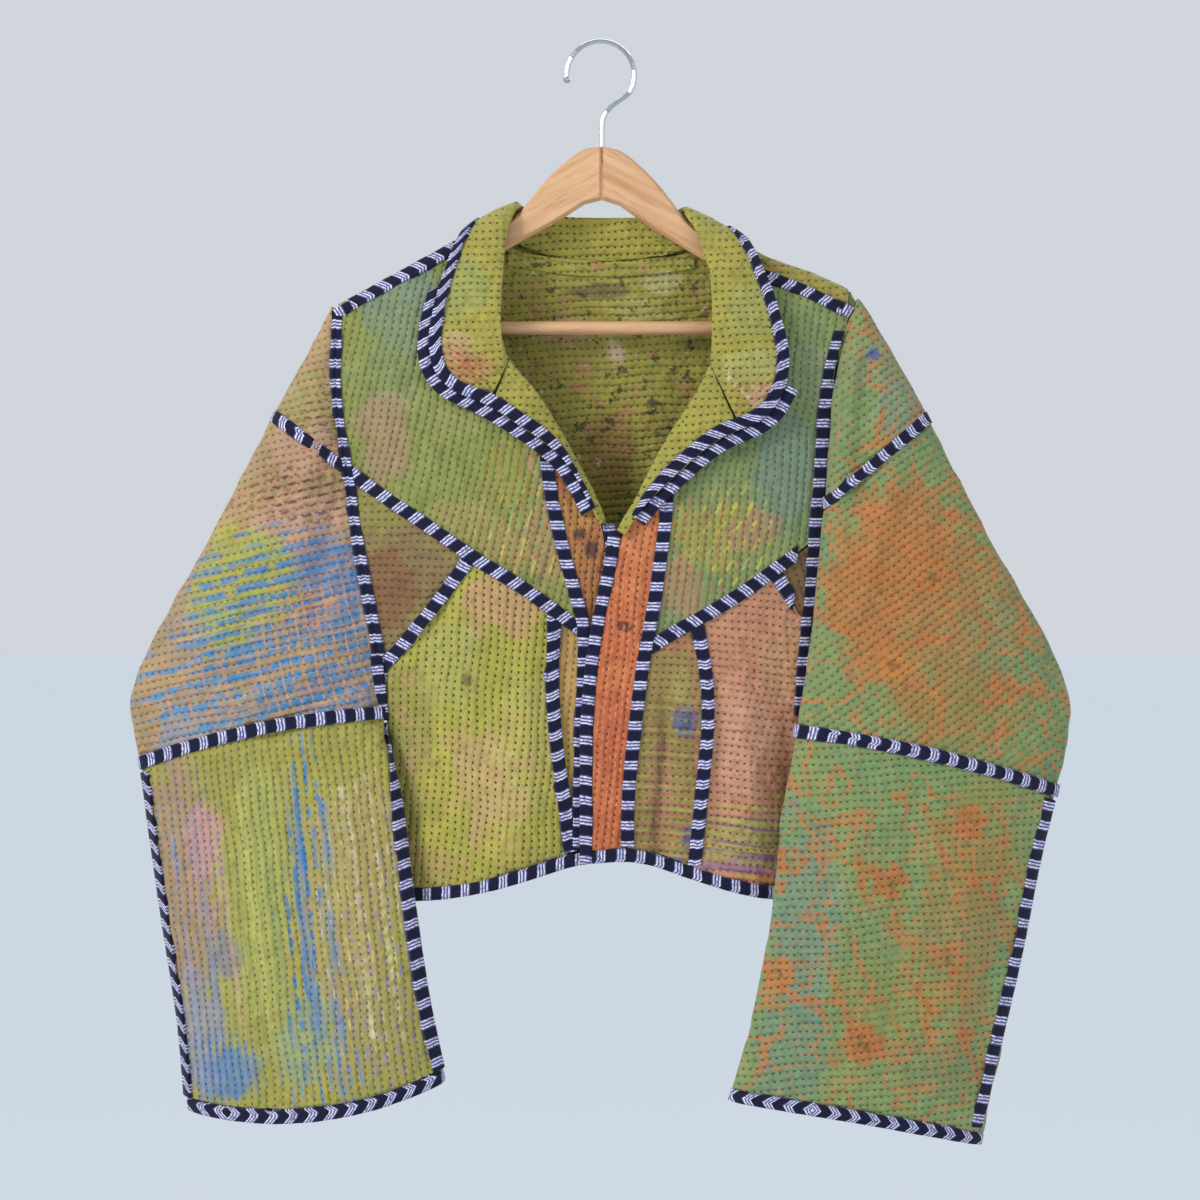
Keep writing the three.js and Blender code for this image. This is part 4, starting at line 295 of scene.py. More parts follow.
class Nodes:
    """A short way to write a material's node tree."""

    def __init__(self, name: str) -> None:
        """Makes an empty material with its surface shader and output.

        Args:
            name: the material's name.
        """
        self.material = bpy.data.materials.new(name)
        self.material.use_nodes = True
        self.tree = self.material.node_tree
        self.tree.nodes.clear()
        self.shader = self.add("ShaderNodeBsdfPrincipled")
        output = self.add("ShaderNodeOutputMaterial")
        self.tree.links.new(self.shader.outputs["BSDF"], output.inputs["Surface"])

    def add(self, kind: str, **settings: object) -> bpy.types.Node:
        """Adds a node and sets its properties.

        Args:
            kind: the node's type.
            settings: its properties.

        Returns:
            The new node.
        """
        node = self.tree.nodes.new(kind)
        for key, value in settings.items():
            setattr(node, key, value)
        return node

    def feed(self, socket: Socket, value: object) -> None:
        """Links a socket to another one, or sets its value.

        Args:
            socket: the socket to feed.
            value: another socket, a number or a colour.
        """
        if isinstance(value, Socket):
            self.tree.links.new(value, socket)
        else:
            socket.default_value = value

    def surface(self, **values: object) -> None:
        """Feeds the shader's sockets, named in small letters with low lines for spaces."""
        for key, value in values.items():
            self.feed(self.shader.inputs[key.replace("_", " ").title().replace("Ior", "IOR")], value)

    def math(self, operation: str, *values: object) -> Socket:
        """One step of arithmetic on sockets and numbers.

        Args:
            operation: the step's name.
            values: what it works on.

        Returns:
            The result.
        """
        node = self.add("ShaderNodeMath", operation=operation)
        for socket, value in zip(node.inputs, values):
            self.feed(socket, value)
        return node.outputs[0]

    def times(self, a: object, b: object) -> Socket:
        """Multiplies two values."""
        return self.math("MULTIPLY", a, b)

    def plus(self, a: object, b: object) -> Socket:
        """Adds two values."""
        return self.math("ADD", a, b)

    def minus(self, a: object, b: object) -> Socket:
        """Takes the second value from the first."""
        return self.math("SUBTRACT", a, b)

    def over(self, a: object, b: object) -> Socket:
        """Divides the first value by the second."""
        return self.math("DIVIDE", a, b)

    def part(self, value: object) -> Socket:
        """What is left of a value above its whole number."""
        return self.math("FRACT", value)

    def off_middle(self, value: object) -> Socket:
        """How far a value lies from a half."""
        return self.math("ABSOLUTE", self.minus(value, 0.5))

    def ramp(self, value: object, low: float, high: float) -> Socket:
        """A smooth step from 0 to 1 between two values.

        Args:
            value: what steps.
            low: where the step starts.
            high: where it ends.

        Returns:
            The share.
        """
        node = self.add("ShaderNodeMapRange", interpolation_type="SMOOTHSTEP")
        self.feed(node.inputs["Value"], value)
        self.feed(node.inputs["From Min"], low)
        self.feed(node.inputs["From Max"], high)
        return node.outputs[0]

    def fall(self, value: object, low: float, high: float) -> Socket:
        """A smooth step from 1 down to 0 between two values."""
        return self.minus(1.0, self.ramp(value, low, high))

    def mix(self, share: object, a: object, b: object) -> Socket:
        """Blends two colours.

        Args:
            share: how much of the second.
            a: the first colour.
            b: the second colour.

        Returns:
            The blended colour.
        """
        node = self.add("ShaderNodeMix", data_type="RGBA")
        self.feed(node.inputs["Factor"], share)
        self.feed(node.inputs[6], a)
        self.feed(node.inputs[7], b)
        return node.outputs[2]

    def noise(self, vector: object, scale: float, detail: float = 2.0) -> Socket:
        """Noise of a number of cells to the metre.

        Args:
            vector: the place.
            scale: cells to the metre.
            detail: how many finer layers.

        Returns:
            A value from 0 to 1.
        """
        node = self.add("ShaderNodeTexNoise")
        self.feed(node.inputs["Vector"], vector)
        self.feed(node.inputs["Scale"], scale)
        self.feed(node.inputs["Detail"], detail)
        return node.outputs[0]

    def place(self) -> Socket:
        """The place on the object, in metres."""
        return self.add("ShaderNodeTexCoord").outputs["Object"]

    def flat(self, place: Socket) -> tuple[Socket, Socket]:
        """Millimetres to the right and up.

        Args:
            place: the place in metres.

        Returns:
            The two distances.
        """
        split = self.add("ShaderNodeSeparateXYZ")
        self.feed(split.inputs[0], place)
        return self.times(split.outputs[0], 1 / MM), self.times(split.outputs[2], 1 / MM)

    def turned(self, x: Socket, z: Socket, degrees: float) -> tuple[Socket, Socket]:
        """Distance along a direction and across it.

        Args:
            x: distance to the right.
            z: distance up.
            degrees: the direction's turn from level.

        Returns:
            The distances along and across.
        """
        cos, sin = math.cos(math.radians(degrees)), math.sin(math.radians(degrees))
        return (self.plus(self.times(x, cos), self.times(z, sin)),
                self.plus(self.times(x, -sin), self.times(z, cos)))

    def attribute(self, name: str) -> bpy.types.Node:
        """Reads a value or colour stored on the mesh."""
        return self.add("ShaderNodeAttribute", attribute_name=name)

    def bump(self, height: object, distance: float, strength: float = 1.0) -> None:
        """Raises the surface by a height in parts of a distance.

        Args:
            height: the height, from 0 to 1.
            distance: the full height in metres.
            strength: how much of it shows.
        """
        node = self.add("ShaderNodeBump")
        self.feed(node.inputs["Height"], height)
        node.inputs["Distance"].default_value = distance
        node.inputs["Strength"].default_value = strength
        self.tree.links.new(node.outputs[0], self.shader.inputs["Normal"])


def places_of(mesh: bpy.types.Mesh) -> Points:
    """Vertex places in millimetres.

    Args:
        mesh: the mesh.

    Returns:
        One row for each vertex.
    """
    flat = np.empty(len(mesh.vertices) * 3)
    mesh.vertices.foreach_get("co", flat)
    return flat.reshape(-1, 3) / MM


def normals_of(mesh: bpy.types.Mesh) -> Points:
    """Vertex normals.

    Args:
        mesh: the mesh.

    Returns:
        One row for each vertex.
    """
    flat = np.empty(len(mesh.vertices) * 3)
    mesh.vertices.foreach_get("normal", flat)
    return flat.reshape(-1, 3)


def move_to(mesh: bpy.types.Mesh, places: Points) -> None:
    """Sets the vertex places, given in millimetres."""
    mesh.vertices.foreach_set("co", (places * MM).ravel())
    mesh.update()


def dress(mesh: bpy.types.Mesh, material: bpy.types.Material) -> None:
    """Gives a mesh one material in place of those it has."""
    mesh.materials.clear()
    mesh.materials.append(material)


def refined(node: str, name: str, levels: int, crease: float) -> bpy.types.Object:
    """Makes a fine copy of a solid's form, with its corners kept.

    Args:
        node: the solid's name.
        name: the new piece's name.
        levels: how often each face is divided.
        crease: how sharp the rims stay, from 0 to 1.

    Returns:
        The new piece, which rides on the hanger's body and stands for the solid.
    """
    form = bmesh.new()
    form.from_mesh(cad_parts[node].data)
    bmesh.ops.remove_doubles(form, verts=form.verts, dist=MERGE_DISTANCE)
    bmesh.ops.join_triangles(form, faces=form.faces[:], angle_face_threshold=math.radians(JOIN_BEND),
                             angle_shape_threshold=math.radians(JOIN_SHAPE))
    layer = form.edges.layers.float.new("crease_edge")
    for edge in form.edges:
        if len(edge.link_faces) == 2 and edge.calc_face_angle(0) > math.radians(RIM_ANGLE):
            edge[layer] = crease
    coarse = bpy.data.meshes.new(name + "_form")
    form.to_mesh(coarse)
    form.free()
    piece = bpy.data.objects.new(name, coarse)
    bpy.context.scene.collection.objects.link(piece)
    divide = piece.modifiers.new("divide", "SUBSURF")
    divide.levels = divide.render_levels = levels
    piece.data = bpy.data.meshes.new_from_object(piece.evaluated_get(bpy.context.evaluated_depsgraph_get()))
    piece.modifiers.clear()
    piece.data.polygons.foreach_set("use_smooth", [True] * len(piece.data.polygons))
    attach(piece, "root")
    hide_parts(node)
    return piece


def middle_plane(nodes: list[str]) -> Points:
    """Fits y = a + b x + c z to the vertices of some solids, in millimetres.

    Args:
        nodes: the solids' names.

    Returns:
        The values a, b and c.
    """
    spots = np.vstack([places_of(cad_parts[node].data) for node in nodes])
    system = np.column_stack([np.ones(len(spots)), spots[:, 0], spots[:, 2]])
    return np.linalg.lstsq(system, spots[:, 1], rcond=None)[0]


def paint(mesh: bpy.types.Mesh, name: str, values: Points) -> None:
    """Stores a colour on each vertex."""
    layer = mesh.attributes.new(name, "FLOAT_COLOR", "POINT")
    layer.data.foreach_set("color", np.column_stack([values, np.ones(len(values))]).ravel())


def store(mesh: bpy.types.Mesh, name: str, values: Points) -> None:
    """Stores a number on each vertex."""
    layer = mesh.attributes.new(name, "FLOAT", "POINT")
    layer.data.foreach_set("value", np.asarray(values, dtype=np.float32))


@dataclass(frozen=True)
class QuiltedCotton:
    """Soft worn cotton, quilted by hand with running stitches in rows."""

    name: str
    design: Print
    roughness: float = 0.9
    sheen: float = 0.22
    stitch_pitch: float = 5.6
    stitch_slip: float = 3.1
    half_stitch: tuple[float, float] = (0.14, 0.21)
    half_thread: tuple[float, float] = (0.4, 0.85)
    row_drift: float = 7.0
    pillow_share: float = 0.36
    relief: float = 0.0016

    def material(self) -> bpy.types.Material:
        """Builds the cloth's material: print colours with any painted shade, weave, stitches and the pillows
        between their rows.

        Returns:
            The material.
        """
        nodes = Nodes(self.name)
        place = nodes.place()
        x, z = nodes.flat(place)
        u, v = nodes.turned(x, z, self.design.turn)
        drift = nodes.times(nodes.noise(place, 22, 1), self.row_drift)
        row = nodes.over(nodes.plus(v, drift), self.design.rows)
        gap = nodes.times(nodes.off_middle(nodes.part(row)), self.design.rows)
        slip = nodes.times(nodes.math("SINE", nodes.times(nodes.math("FLOOR", row), 12.9)), self.stitch_slip)
        step = nodes.part(nodes.over(nodes.plus(u, slip), self.stitch_pitch))
        stitch = nodes.times(nodes.fall(nodes.off_middle(step), *self.half_stitch),
                             nodes.fall(gap, *self.half_thread))
        uneven = nodes.ramp(nodes.noise(place, 34, 2), 0.25, 0.45)
        shown = nodes.times(nodes.times(stitch, uneven), self.design.amount)
        weave = nodes.noise(place, 900, 2)
        cloudy = nodes.noise(place, 160, 3)
        dye_and_painted_shade = nodes.attribute("dye_and_painted_shade").outputs["Color"]
        for tangle in self.design.tangles:
            dye_and_painted_shade = self.tangled(nodes, place, dye_and_painted_shade, tangle)
        for lines in self.design.lines:
            dye_and_painted_shade = self.lined(nodes, place, x, z, dye_and_painted_shade, lines)
        value = nodes.plus(nodes.times(weave, 0.22), nodes.times(cloudy, 0.34))
        tone = nodes.add("ShaderNodeHueSaturation")
        nodes.feed(tone.inputs["Color"], dye_and_painted_shade)
        nodes.feed(tone.inputs["Value"], nodes.plus(value, 0.73))
        pillow = nodes.ramp(gap, 0.0, self.design.rows * self.pillow_share)
        tuck = nodes.times(nodes.ramp(nodes.noise(place, 120, 1), 0.3, 0.7), 0.8)
        height = nodes.plus(nodes.times(pillow, 0.55), tuck)
        height = nodes.plus(height, nodes.times(stitch, -0.35))
        nodes.bump(nodes.plus(height, nodes.times(weave, 0.28)), self.relief)
        nodes.surface(base_color=nodes.mix(shown, tone.outputs[0], rgba(self.design.stitch)),
                      roughness=self.roughness, sheen_weight=self.sheen, sheen_roughness=0.5,
                      specular_ior_level=0.2)
        return nodes.material

    @staticmethod
    def tangled(nodes: Nodes, place: Socket, dye_and_painted_shade: Socket, tangle: Tangle) -> Socket:
        """Lays winding lines and blots over the print colours, painted shade included.

        Args:
            nodes: the material's nodes.
            place: the place on the cloth.
            dye_and_painted_shade: the colour so far.
            tangle: what to lay over it.

        Returns:
            The new colour.
        """
        shift = nodes.add("ShaderNodeVectorMath", operation="ADD")
        nodes.feed(shift.inputs[0], place)
        shift.inputs[1].default_value = (tangle.offset, tangle.offset * 0.7, -tangle.offset)
        moved = shift.outputs[0]
        mask = nodes.ramp(nodes.noise(moved, tangle.scale * 1.7, 3.5), tangle.blot, tangle.blot + 0.04)
        if tangle.line > 0:
            edge = nodes.off_middle(nodes.noise(moved, tangle.scale, 2.5))
            mask = nodes.math("MAXIMUM", nodes.fall(edge, tangle.line * 0.7, tangle.line * 1.5 + 0.001), mask)
        worn = nodes.ramp(nodes.noise(place, 300, 2), 0.25, 0.5)
        return nodes.mix(nodes.times(nodes.times(mask, worn), tangle.strength), dye_and_painted_shade, rgba(tangle.colour))

    @staticmethod
    def lined(nodes: Nodes, place: Socket, x: Socket, z: Socket, dye_and_painted_shade: Socket, rows: Rows) -> Socket:
        """Lays rows of stripes or dots over the print colours, painted shade included.

        Args:
            nodes: the material's nodes.
            place: the place on the cloth.
            x: millimetres to the right.
            z: millimetres up.
            dye_and_painted_shade: the colour so far.
            rows: what to lay over it.

        Returns:
            The new colour.
        """
        u, v = nodes.turned(x, z, rows.turn)
        v = nodes.plus(v, nodes.times(nodes.noise(place, 30, 2), rows.pitch * 0.8))
        dx, dz = nodes.over(nodes.minus(x, rows.x), rows.rx), nodes.over(nodes.minus(z, rows.z), rows.rz)
        reach = nodes.math("SQRT", nodes.plus(nodes.times(dx, dx), nodes.times(dz, dz)))
        inside = nodes.fall(nodes.plus(reach, nodes.times(nodes.noise(place, 45, 3), 0.8)), 1.1, 1.45)
        share = nodes.over(v, rows.pitch)
        gap = nodes.times(nodes.off_middle(nodes.part(share)), rows.pitch)
        mask = nodes.fall(gap, max(rows.width / 2 - 0.5, 0.05), rows.width / 2 + 0.5)
        if rows.dash:
            slip = nodes.times(nodes.math("FLOOR", share), 0.37 * rows.dash)
            spot = nodes.off_middle(nodes.part(nodes.over(nodes.plus(u, slip), rows.dash)))
            mask = nodes.times(mask, nodes.fall(spot, rows.share / 2 - 0.06, rows.share / 2 + 0.06))
        worn = nodes.ramp(nodes.noise(place, 130, 3), 0.33, 0.55)
        mask = nodes.times(nodes.times(mask, worn), nodes.times(inside, rows.strength))
        return nodes.mix(mask, dye_and_painted_shade, rgba(rows.colour))


@dataclass(frozen=True)
class StripedBinding:
    """Navy cotton binding with groups of white and lilac lines across it; lengths in millimetres."""

    name: str = "striped_binding"
    navy: str = "0d0e2c"
    white: str = "ecebf6"
    lilac: str = "6a66a8"
    period: float = 16.0
    group: tuple[float, float, float, float] = (7.6, 8.3, 15.4, 16.0)
    line_start: float = 8.2
    line_pitch: float = 2.6
    roughness: float = 0.86
    relief: float = 0.0006

    def material(self) -> bpy.types.Material:
        """Builds the binding's material from the way along the strip.

        Returns:
            The material.
        """
        nodes = Nodes(self.name)
        place = nodes.place()
        wobble = nodes.times(nodes.noise(place, 260, 2), 1.6)
        along = nodes.plus(nodes.attribute("along").outputs["Fac"], wobble)
        spot = nodes.times(nodes.part(nodes.over(along, self.period)), self.period)
        within = nodes.times(nodes.ramp(spot, *self.group[:2]), nodes.fall(spot, *self.group[2:]))
        beat = nodes.part(nodes.over(nodes.minus(spot, self.line_start), self.line_pitch))
        line = nodes.fall(nodes.off_middle(beat), 0.16, 0.30)
        worn = nodes.ramp(nodes.noise(place, 420, 3), 0.2, 0.62)
        ground = nodes.mix(nodes.times(within, 0.55), rgba(self.navy), rgba(self.lilac))
        bright = nodes.times(nodes.times(within, line), nodes.times(worn, 0.9))
        nodes.bump(nodes.plus(nodes.noise(place, 1100, 2), nodes.times(nodes.noise(place, 150, 2), 1.2)),
                   self.relief, 0.7)
        nodes.surface(base_color=nodes.mix(bright, ground, rgba(self.white)), roughness=self.roughness,
                      sheen_weight=0.12, specular_ior_level=0.25)
        return nodes.material


@dataclass(frozen=True)
class VarnishedBeech:
    """Pale beech with a satin varnish; the grain runs along a direction in the plane of the hanger."""

    name: str
    turn: float
    light: str = "dfb184"
    dark: str = "b98455"
    fleck: str = "8f5d38"
    stretch: float = 14.0

    def material(self) -> bpy.types.Material:
        """Builds the wood's material: long grain, short flecks and a varnish.

        Returns:
            The material.
        """
        nodes = Nodes(self.name)
        mapping = nodes.add("ShaderNodeMapping", vector_type="TEXTURE")
        nodes.feed(mapping.inputs["Vector"], nodes.place())
        mapping.inputs["Rotation"].default_value = (0, -math.radians(self.turn), 0)
        mapping.inputs["Scale"].default_value = (self.stretch, 1, 1)
        drawn = mapping.outputs[0]
        grain = nodes.noise(drawn, 190, 4)
        bands = nodes.noise(drawn, 60, 2)
        flecks = nodes.ramp(nodes.noise(drawn, 700, 1), 0.58, 0.72)
        share = nodes.plus(nodes.times(nodes.ramp(grain, 0.35, 0.7), 0.55),
                           nodes.times(nodes.ramp(bands, 0.35, 0.65), 0.45))
        wood = nodes.mix(nodes.times(share, 0.8), rgba(self.light), rgba(self.dark))
        nodes.bump(grain, 0.0002, 0.25)
        nodes.surface(base_color=nodes.mix(nodes.times(flecks, 0.35), wood, rgba(self.fleck)), roughness=0.42,
                      coat_weight=0.25, coat_roughness=0.25)
        return nodes.material


@dataclass(frozen=True)
class PolishedWire:
    """Bright plated steel wire."""

    name: str = "polished_wire"
    dark: tuple[float, float, float, float] = (0.40, 0.41, 0.44, 1)
    light: tuple[float, float, float, float] = (0.55, 0.56, 0.59, 1)

    def material(self) -> bpy.types.Material:
        """Builds the wire's material, with faint drawing marks.

        Returns:
            The material.
        """
        nodes = Nodes(self.name)
        marks = nodes.noise(nodes.place(), 500, 2)
        nodes.bump(marks, 0.0001, 0.15)
        nodes.surface(base_color=nodes.mix(marks, self.dark, self.light),
                      roughness=nodes.plus(nodes.times(marks, 0.12), 0.1), metallic=1.0)
        return nodes.material


@dataclass(frozen=True)
class Cut:
    """The flat size that a cloth was cut to, and its area, in millimetres."""

    width: float
    length: float
    area: float


@dataclass
class ClothPiece:
    """One cloth of the jacket."""

    node: str
    cotton: QuiltedCotton
    slot: str
    cut: Cut
    face: Face = Face.NONE
    plane: tuple[str, ...] = ()
    folds: tuple[Fold, ...] = ()
    levels: int = 3
    crinkle: float = 0.8
    seed: int = 1
    body: bpy.types.Object | None = None

    def build(self) -> None:
        """Makes the piece, gives it its folds and puckers, and paints its print colours, with any painted
        shade.
        """
        self.body = refined(self.node, self.node + "_cloth", self.levels, 1.0)
        mesh = self.body.data
        places = places_of(mesh)
        flat = places.copy()
        places += self.push(places) * fold_height(self.folds, places[:, 0], places[:, 2])[:, None]
        move_to(mesh, places)
        puff = self.crinkle * (noise(flat, 11, self.seed + 7) + 1.3 * noise(flat, 24, self.seed + 8))
        move_to(mesh, places + normals_of(mesh) * puff[:, None])
        paint(mesh, "dye_and_painted_shade", dyed_with_painted_shade(self.cotton.design, flat, self.seed))
        dress(mesh, self.cotton.material())

    def push(self, places: Points) -> Points:
        """The direction that folds stand out in, as a vector at each place.

        Args:
            places: the places in millimetres.

        Returns:
            A vector for each place.
        """
        way = np.zeros_like(places)
        if self.face is Face.FRONT:
            way[:, 1] = -1
        elif self.face is Face.BACK:
            way[:, 1] = np.clip((RIDGE_BOTTOM - places[:, 2]) / RIDGE_FADE, 0, 1)
        elif self.face is Face.ROUND:
            a, b, c = middle_plane(list(self.plane))
            way[:, 1] = np.clip((places[:, 1] - a - b * places[:, 0] - c * places[:, 2]) / ROUND_FADE, -1, 1)
        return way

    def declare(self, rests_on: list[str], bindings: list[bpy.types.Object]) -> None:
        """Does nothing; no sheet of cloth is declared for this piece."""


@dataclass
class ClothSet:
    """Cloths that are made together."""

    pieces: dict[str, ClothPiece] = field(default_factory=dict)

    def sew(self, piece: ClothPiece) -> None:
        """Makes a cloth and keeps it by its node's name.

        Args:
            piece: the cloth.
        """
        piece.build()
        self.pieces[piece.node] = piece
        LOG.info("%s: %d faces", piece.node, len(piece.body.data.polygons))


SAGE_L = Print("8c9250", "7d8444", turn=78, grain=30, stitch="5f3a24", amount=0.75, lines=(
    Rows(-55, -370, 46, 70, 74, 8, 1.8, "c0504a", 0.75, 6.5, 0.5),
    Rows(-50, -360, 40, 60, 78, 11, 2.4, "5f9a6a", 0.5, 20, 0.7),
    Rows(-60, -400, 50, 50, 74, 13, 1.8, "d0cc5a", 0.5, 24, 0.6)), patches=(
    Patch(-150, -215, 60, 34, "6f8474", 0.75, -30), Patch(-165, -255, 34, 44, "7d8a5c", 0.6),
    Patch(-176, -318, 22, 40, "a3806a", 0.6), Patch(-40, -405, 26, 40, "a98a62", 0.6),
    Patch(-95, -395, 40, 16, "a98f5c", 0.45, -30), Patch(-70, -345, 26, 34, "928f45", 0.6),
    Patch(-120, -290, 34, 30, "94955a", 0.5)),
    streaks=(Streak(-60, -330, -22, -440, 3, "b98d78", 0.6), Streak(-50, -345, -30, -400, 3, "6d8a58", 0.7),
             Streak(-84, -350, -52, -425, 2.5, "a9a35a", 0.6)))
SAGE_R = Print("849058", "6f8458", turn=84, grain=26, stitch="5f3a24", amount=0.7, lines=(
    Rows(85, -410, 50, 60, 80, 9, 1.9, "c04f48", 0.7, 7, 0.5),
    Rows(110, -400, 40, 50, 60, 10, 2.4, "c2c44e", 0.55, 18, 0.6),
    Rows(150, -290, 60, 50, -12, 6, 1.6, "557f74", 0.5)), patches=(
    Patch(110, -240, 40, 30, "7f8a60", 0.6), Patch(150, -265, 44, 26, "86906a", 0.6, -20),
    Patch(150, -345, 26, 44, "6f8478", 0.6), Patch(90, -400, 34, 30, "a59a48", 0.55),
    Patch(60, -440, 26, 24, "a77f60", 0.6), Patch(120, -395, 26, 14, "b07f66", 0.5, 30)),
    streaks=(Streak(70, -370, 60, -440, 3, "a8504a", 0.65, 8, 0.4),
             Streak(84, -372, 76, -432, 3, "a8504a", 0.55, 8, 0.4),
             Streak(96, -365, 92, -425, 3, "b3a54e", 0.6)))
BROWN_L = Print("8c7f48", "80694a", turn=0, grain=22, patches=(
    Patch(-182, -378, 30, 18, "8d8646", 0.7), Patch(-176, -440, 26, 32, "80563c", 0.75)))
BROWN_R = Print("7d6240", "6a4d36", turn=110, grain=20)
OLIVE_L = Print("b0a84a", "9a9442", turn=86, grain=34, amount=0.95, tangles=(
    Tangle("c0906a", 24, 0.0, 0.60, 0.45, 2.0), Tangle("4d4a30", 80, 0.0, 0.69, 0.5, 8.0)), patches=(
    Patch(-82, -448, 30, 30, "bd8f6c", 0.7), Patch(-88, -600, 28, 44, "c09a70", 0.6, 10),
    Patch(-160, -560, 26, 70, "8a8148", 0.6), Patch(-120, -500, 26, 30, "a1a05a", 0.6),
    Patch(-60, -560, 22, 50, "b2a95e", 0.5), Patch(-140, -665, 34, 22, "a58a58", 0.5),
    Patch(-60, -655, 26, 24, "9a8d48", 0.5), Patch(-107, -512, 5.5, 5.5, "59492c", 0.7)))
STRAW_L = Print("b09c4e", "a0804c", turn=86, grain=22, patches=(Patch(-28, -520, 10, 50, "b98a58", 0.5),))
ROSE_R = Print("c48f70", "b57f60", turn=-6, grain=30, stitch="8a3226", amount=0.95, lines=(
    Rows(125, -648, 60, 34, -8, 7, 2.2, "7d5580", 0.75),
    Rows(125, -640, 60, 40, -8, 11, 3.4, "b0a84c", 0.75),
    Rows(130, -540, 60, 70, -6, 12, 1.4, "a8402e", 0.6, 5, 0.5)), patches=(
    Patch(120, -640, 44, 16, "9a9a54", 0.75), Patch(128, -660, 44, 7, "77628c", 0.6),
    Patch(120, -676, 50, 9, "c27a44", 0.7), Patch(150, -500, 24, 30, "b99566", 0.5),
    Patch(110, -560, 24, 40, "c79880", 0.5), Patch(165, -590, 14, 50, "a5744f", 0.5)))
OLIVE_R = Print("9a8a4a", "8a7048", turn=-4, grain=24, lines=(
    Rows(55, -640, 40, 50, -4, 8, 2.0, "b85a5a", 0.6), Rows(55, -600, 40, 80, -4, 9, 2.6, "aaa552", 0.5)),
    patches=(
    Patch(66, -545, 10, 12, "4a5688", 0.75), Patch(64, -520, 15, 15, "a09258", 0.55),
    Patch(70, -640, 6, 9, "49558c", 0.75), Patch(60, -660, 6, 9, "49558c", 0.7),
    Patch(46, -600, 10, 44, "b07c66", 0.55), Patch(56, -480, 16, 12, "b3705c", 0.6)),
    # The first streak is print. The second, dark brown along the deep fold at x 36 to 50 mm, is painted shade
    # in that crease.
    streaks=(Streak(72, -480, 76, -600, 3, "b9685c", 0.6), Streak(50, -560, 36, -680, 4, "5a3d30", 0.75)))
BAND_L = Print("b07a4c", "9c653c", turn=86, grain=16, tangles=(Tangle("4a2a24", 90, 0.0, 0.66, 0.6),),
    stitch="3b1b18", amount=0.9, patches=(
    Patch(-20, -372, 14, 26, "b5854a", 0.6), Patch(-18, -395, 6, 5, "2a2330", 0.8),
    Patch(-8, -408, 5, 7, "2a2330", 0.75), Patch(-30, -350, 8, 14, "a65a3a", 0.6)),
    streaks=(Streak(-36, -330, -20, -400, 3, "5a2b25", 0.7, 8, 0.4),))
BAND_R = Print("c8744a", "b8603a", turn=84, grain=14, lines=(
    Rows(20, -480, 50, 180, 84, 4.2, 1.3, "d89468", 0.6, 7, 0.6),), stitch="5b1c18", amount=0.8, patches=(
    Patch(30, -400, 12, 22, "cf8454", 0.6), Patch(18, -470, 7, 5, "3a2030", 0.75),
    Patch(10, -560, 12, 40, "b5583a", 0.6), Patch(26, -440, 9, 22, "c77a4c", 0.5)))
TURNED = Print("a9a046", "989044", turn=2, grain=26, amount=0.85, tangles=(
    Tangle("3d3a26", 95, 0.0, 0.65, 0.6),), lines=(
    Rows(-108, -262, 26, 22, -28, 4.2, 1.6, "a8554a", 0.65),
    Rows(125, -285, 30, 22, 40, 4.5, 1.3, "b8504a", 0.4)), patches=(
    Patch(-104, -264, 22, 12, "b0705a", 0.4), Patch(-120, -245, 16, 14, "c09a7a", 0.5),
    Patch(131, -290, 16, 14, "c79a80", 0.6), Patch(118, -262, 22, 14, "a8a86a", 0.5),
    Patch(-110, -200, 20, 24, "8f9a5e", 0.5), Patch(120, -215, 22, 22, "9aa05c", 0.5)),
    streaks=(Streak(-108, -258, -92, -286, 2.6, "a33c38", 0.7),
             Streak(-116, -250, -104, -276, 2.6, "b75a50", 0.6),
             Streak(100, -270, 128, -300, 2.6, "e0d2ae", 0.55, 7, 0.5)))
INSIDE = Print("a09a45", "8d8240", turn=3, grain=34, amount=0.7, tangles=(
    Tangle("33322e", 62, 0.0, 0.61, 0.75), Tangle("b5715e", 38, 0.0, 0.60, 0.5, 3.1),
    Tangle("c9c3b4", 90, 0.0, 0.66, 0.6, 5.7)), patches=(
    Patch(-5, -197, 24, 7, "4e4238", 0.6), Patch(10, -245, 8, 10, "d9b7a4", 0.6),
    Patch(-30, -230, 20, 12, "b98b72", 0.5), Patch(30, -215, 22, 12, "a8a35e", 0.6),
    Patch(5, -330, 24, 34, "8a6240", 0.55), Patch(50, -190, 16, 10, "b9b380", 0.5)))
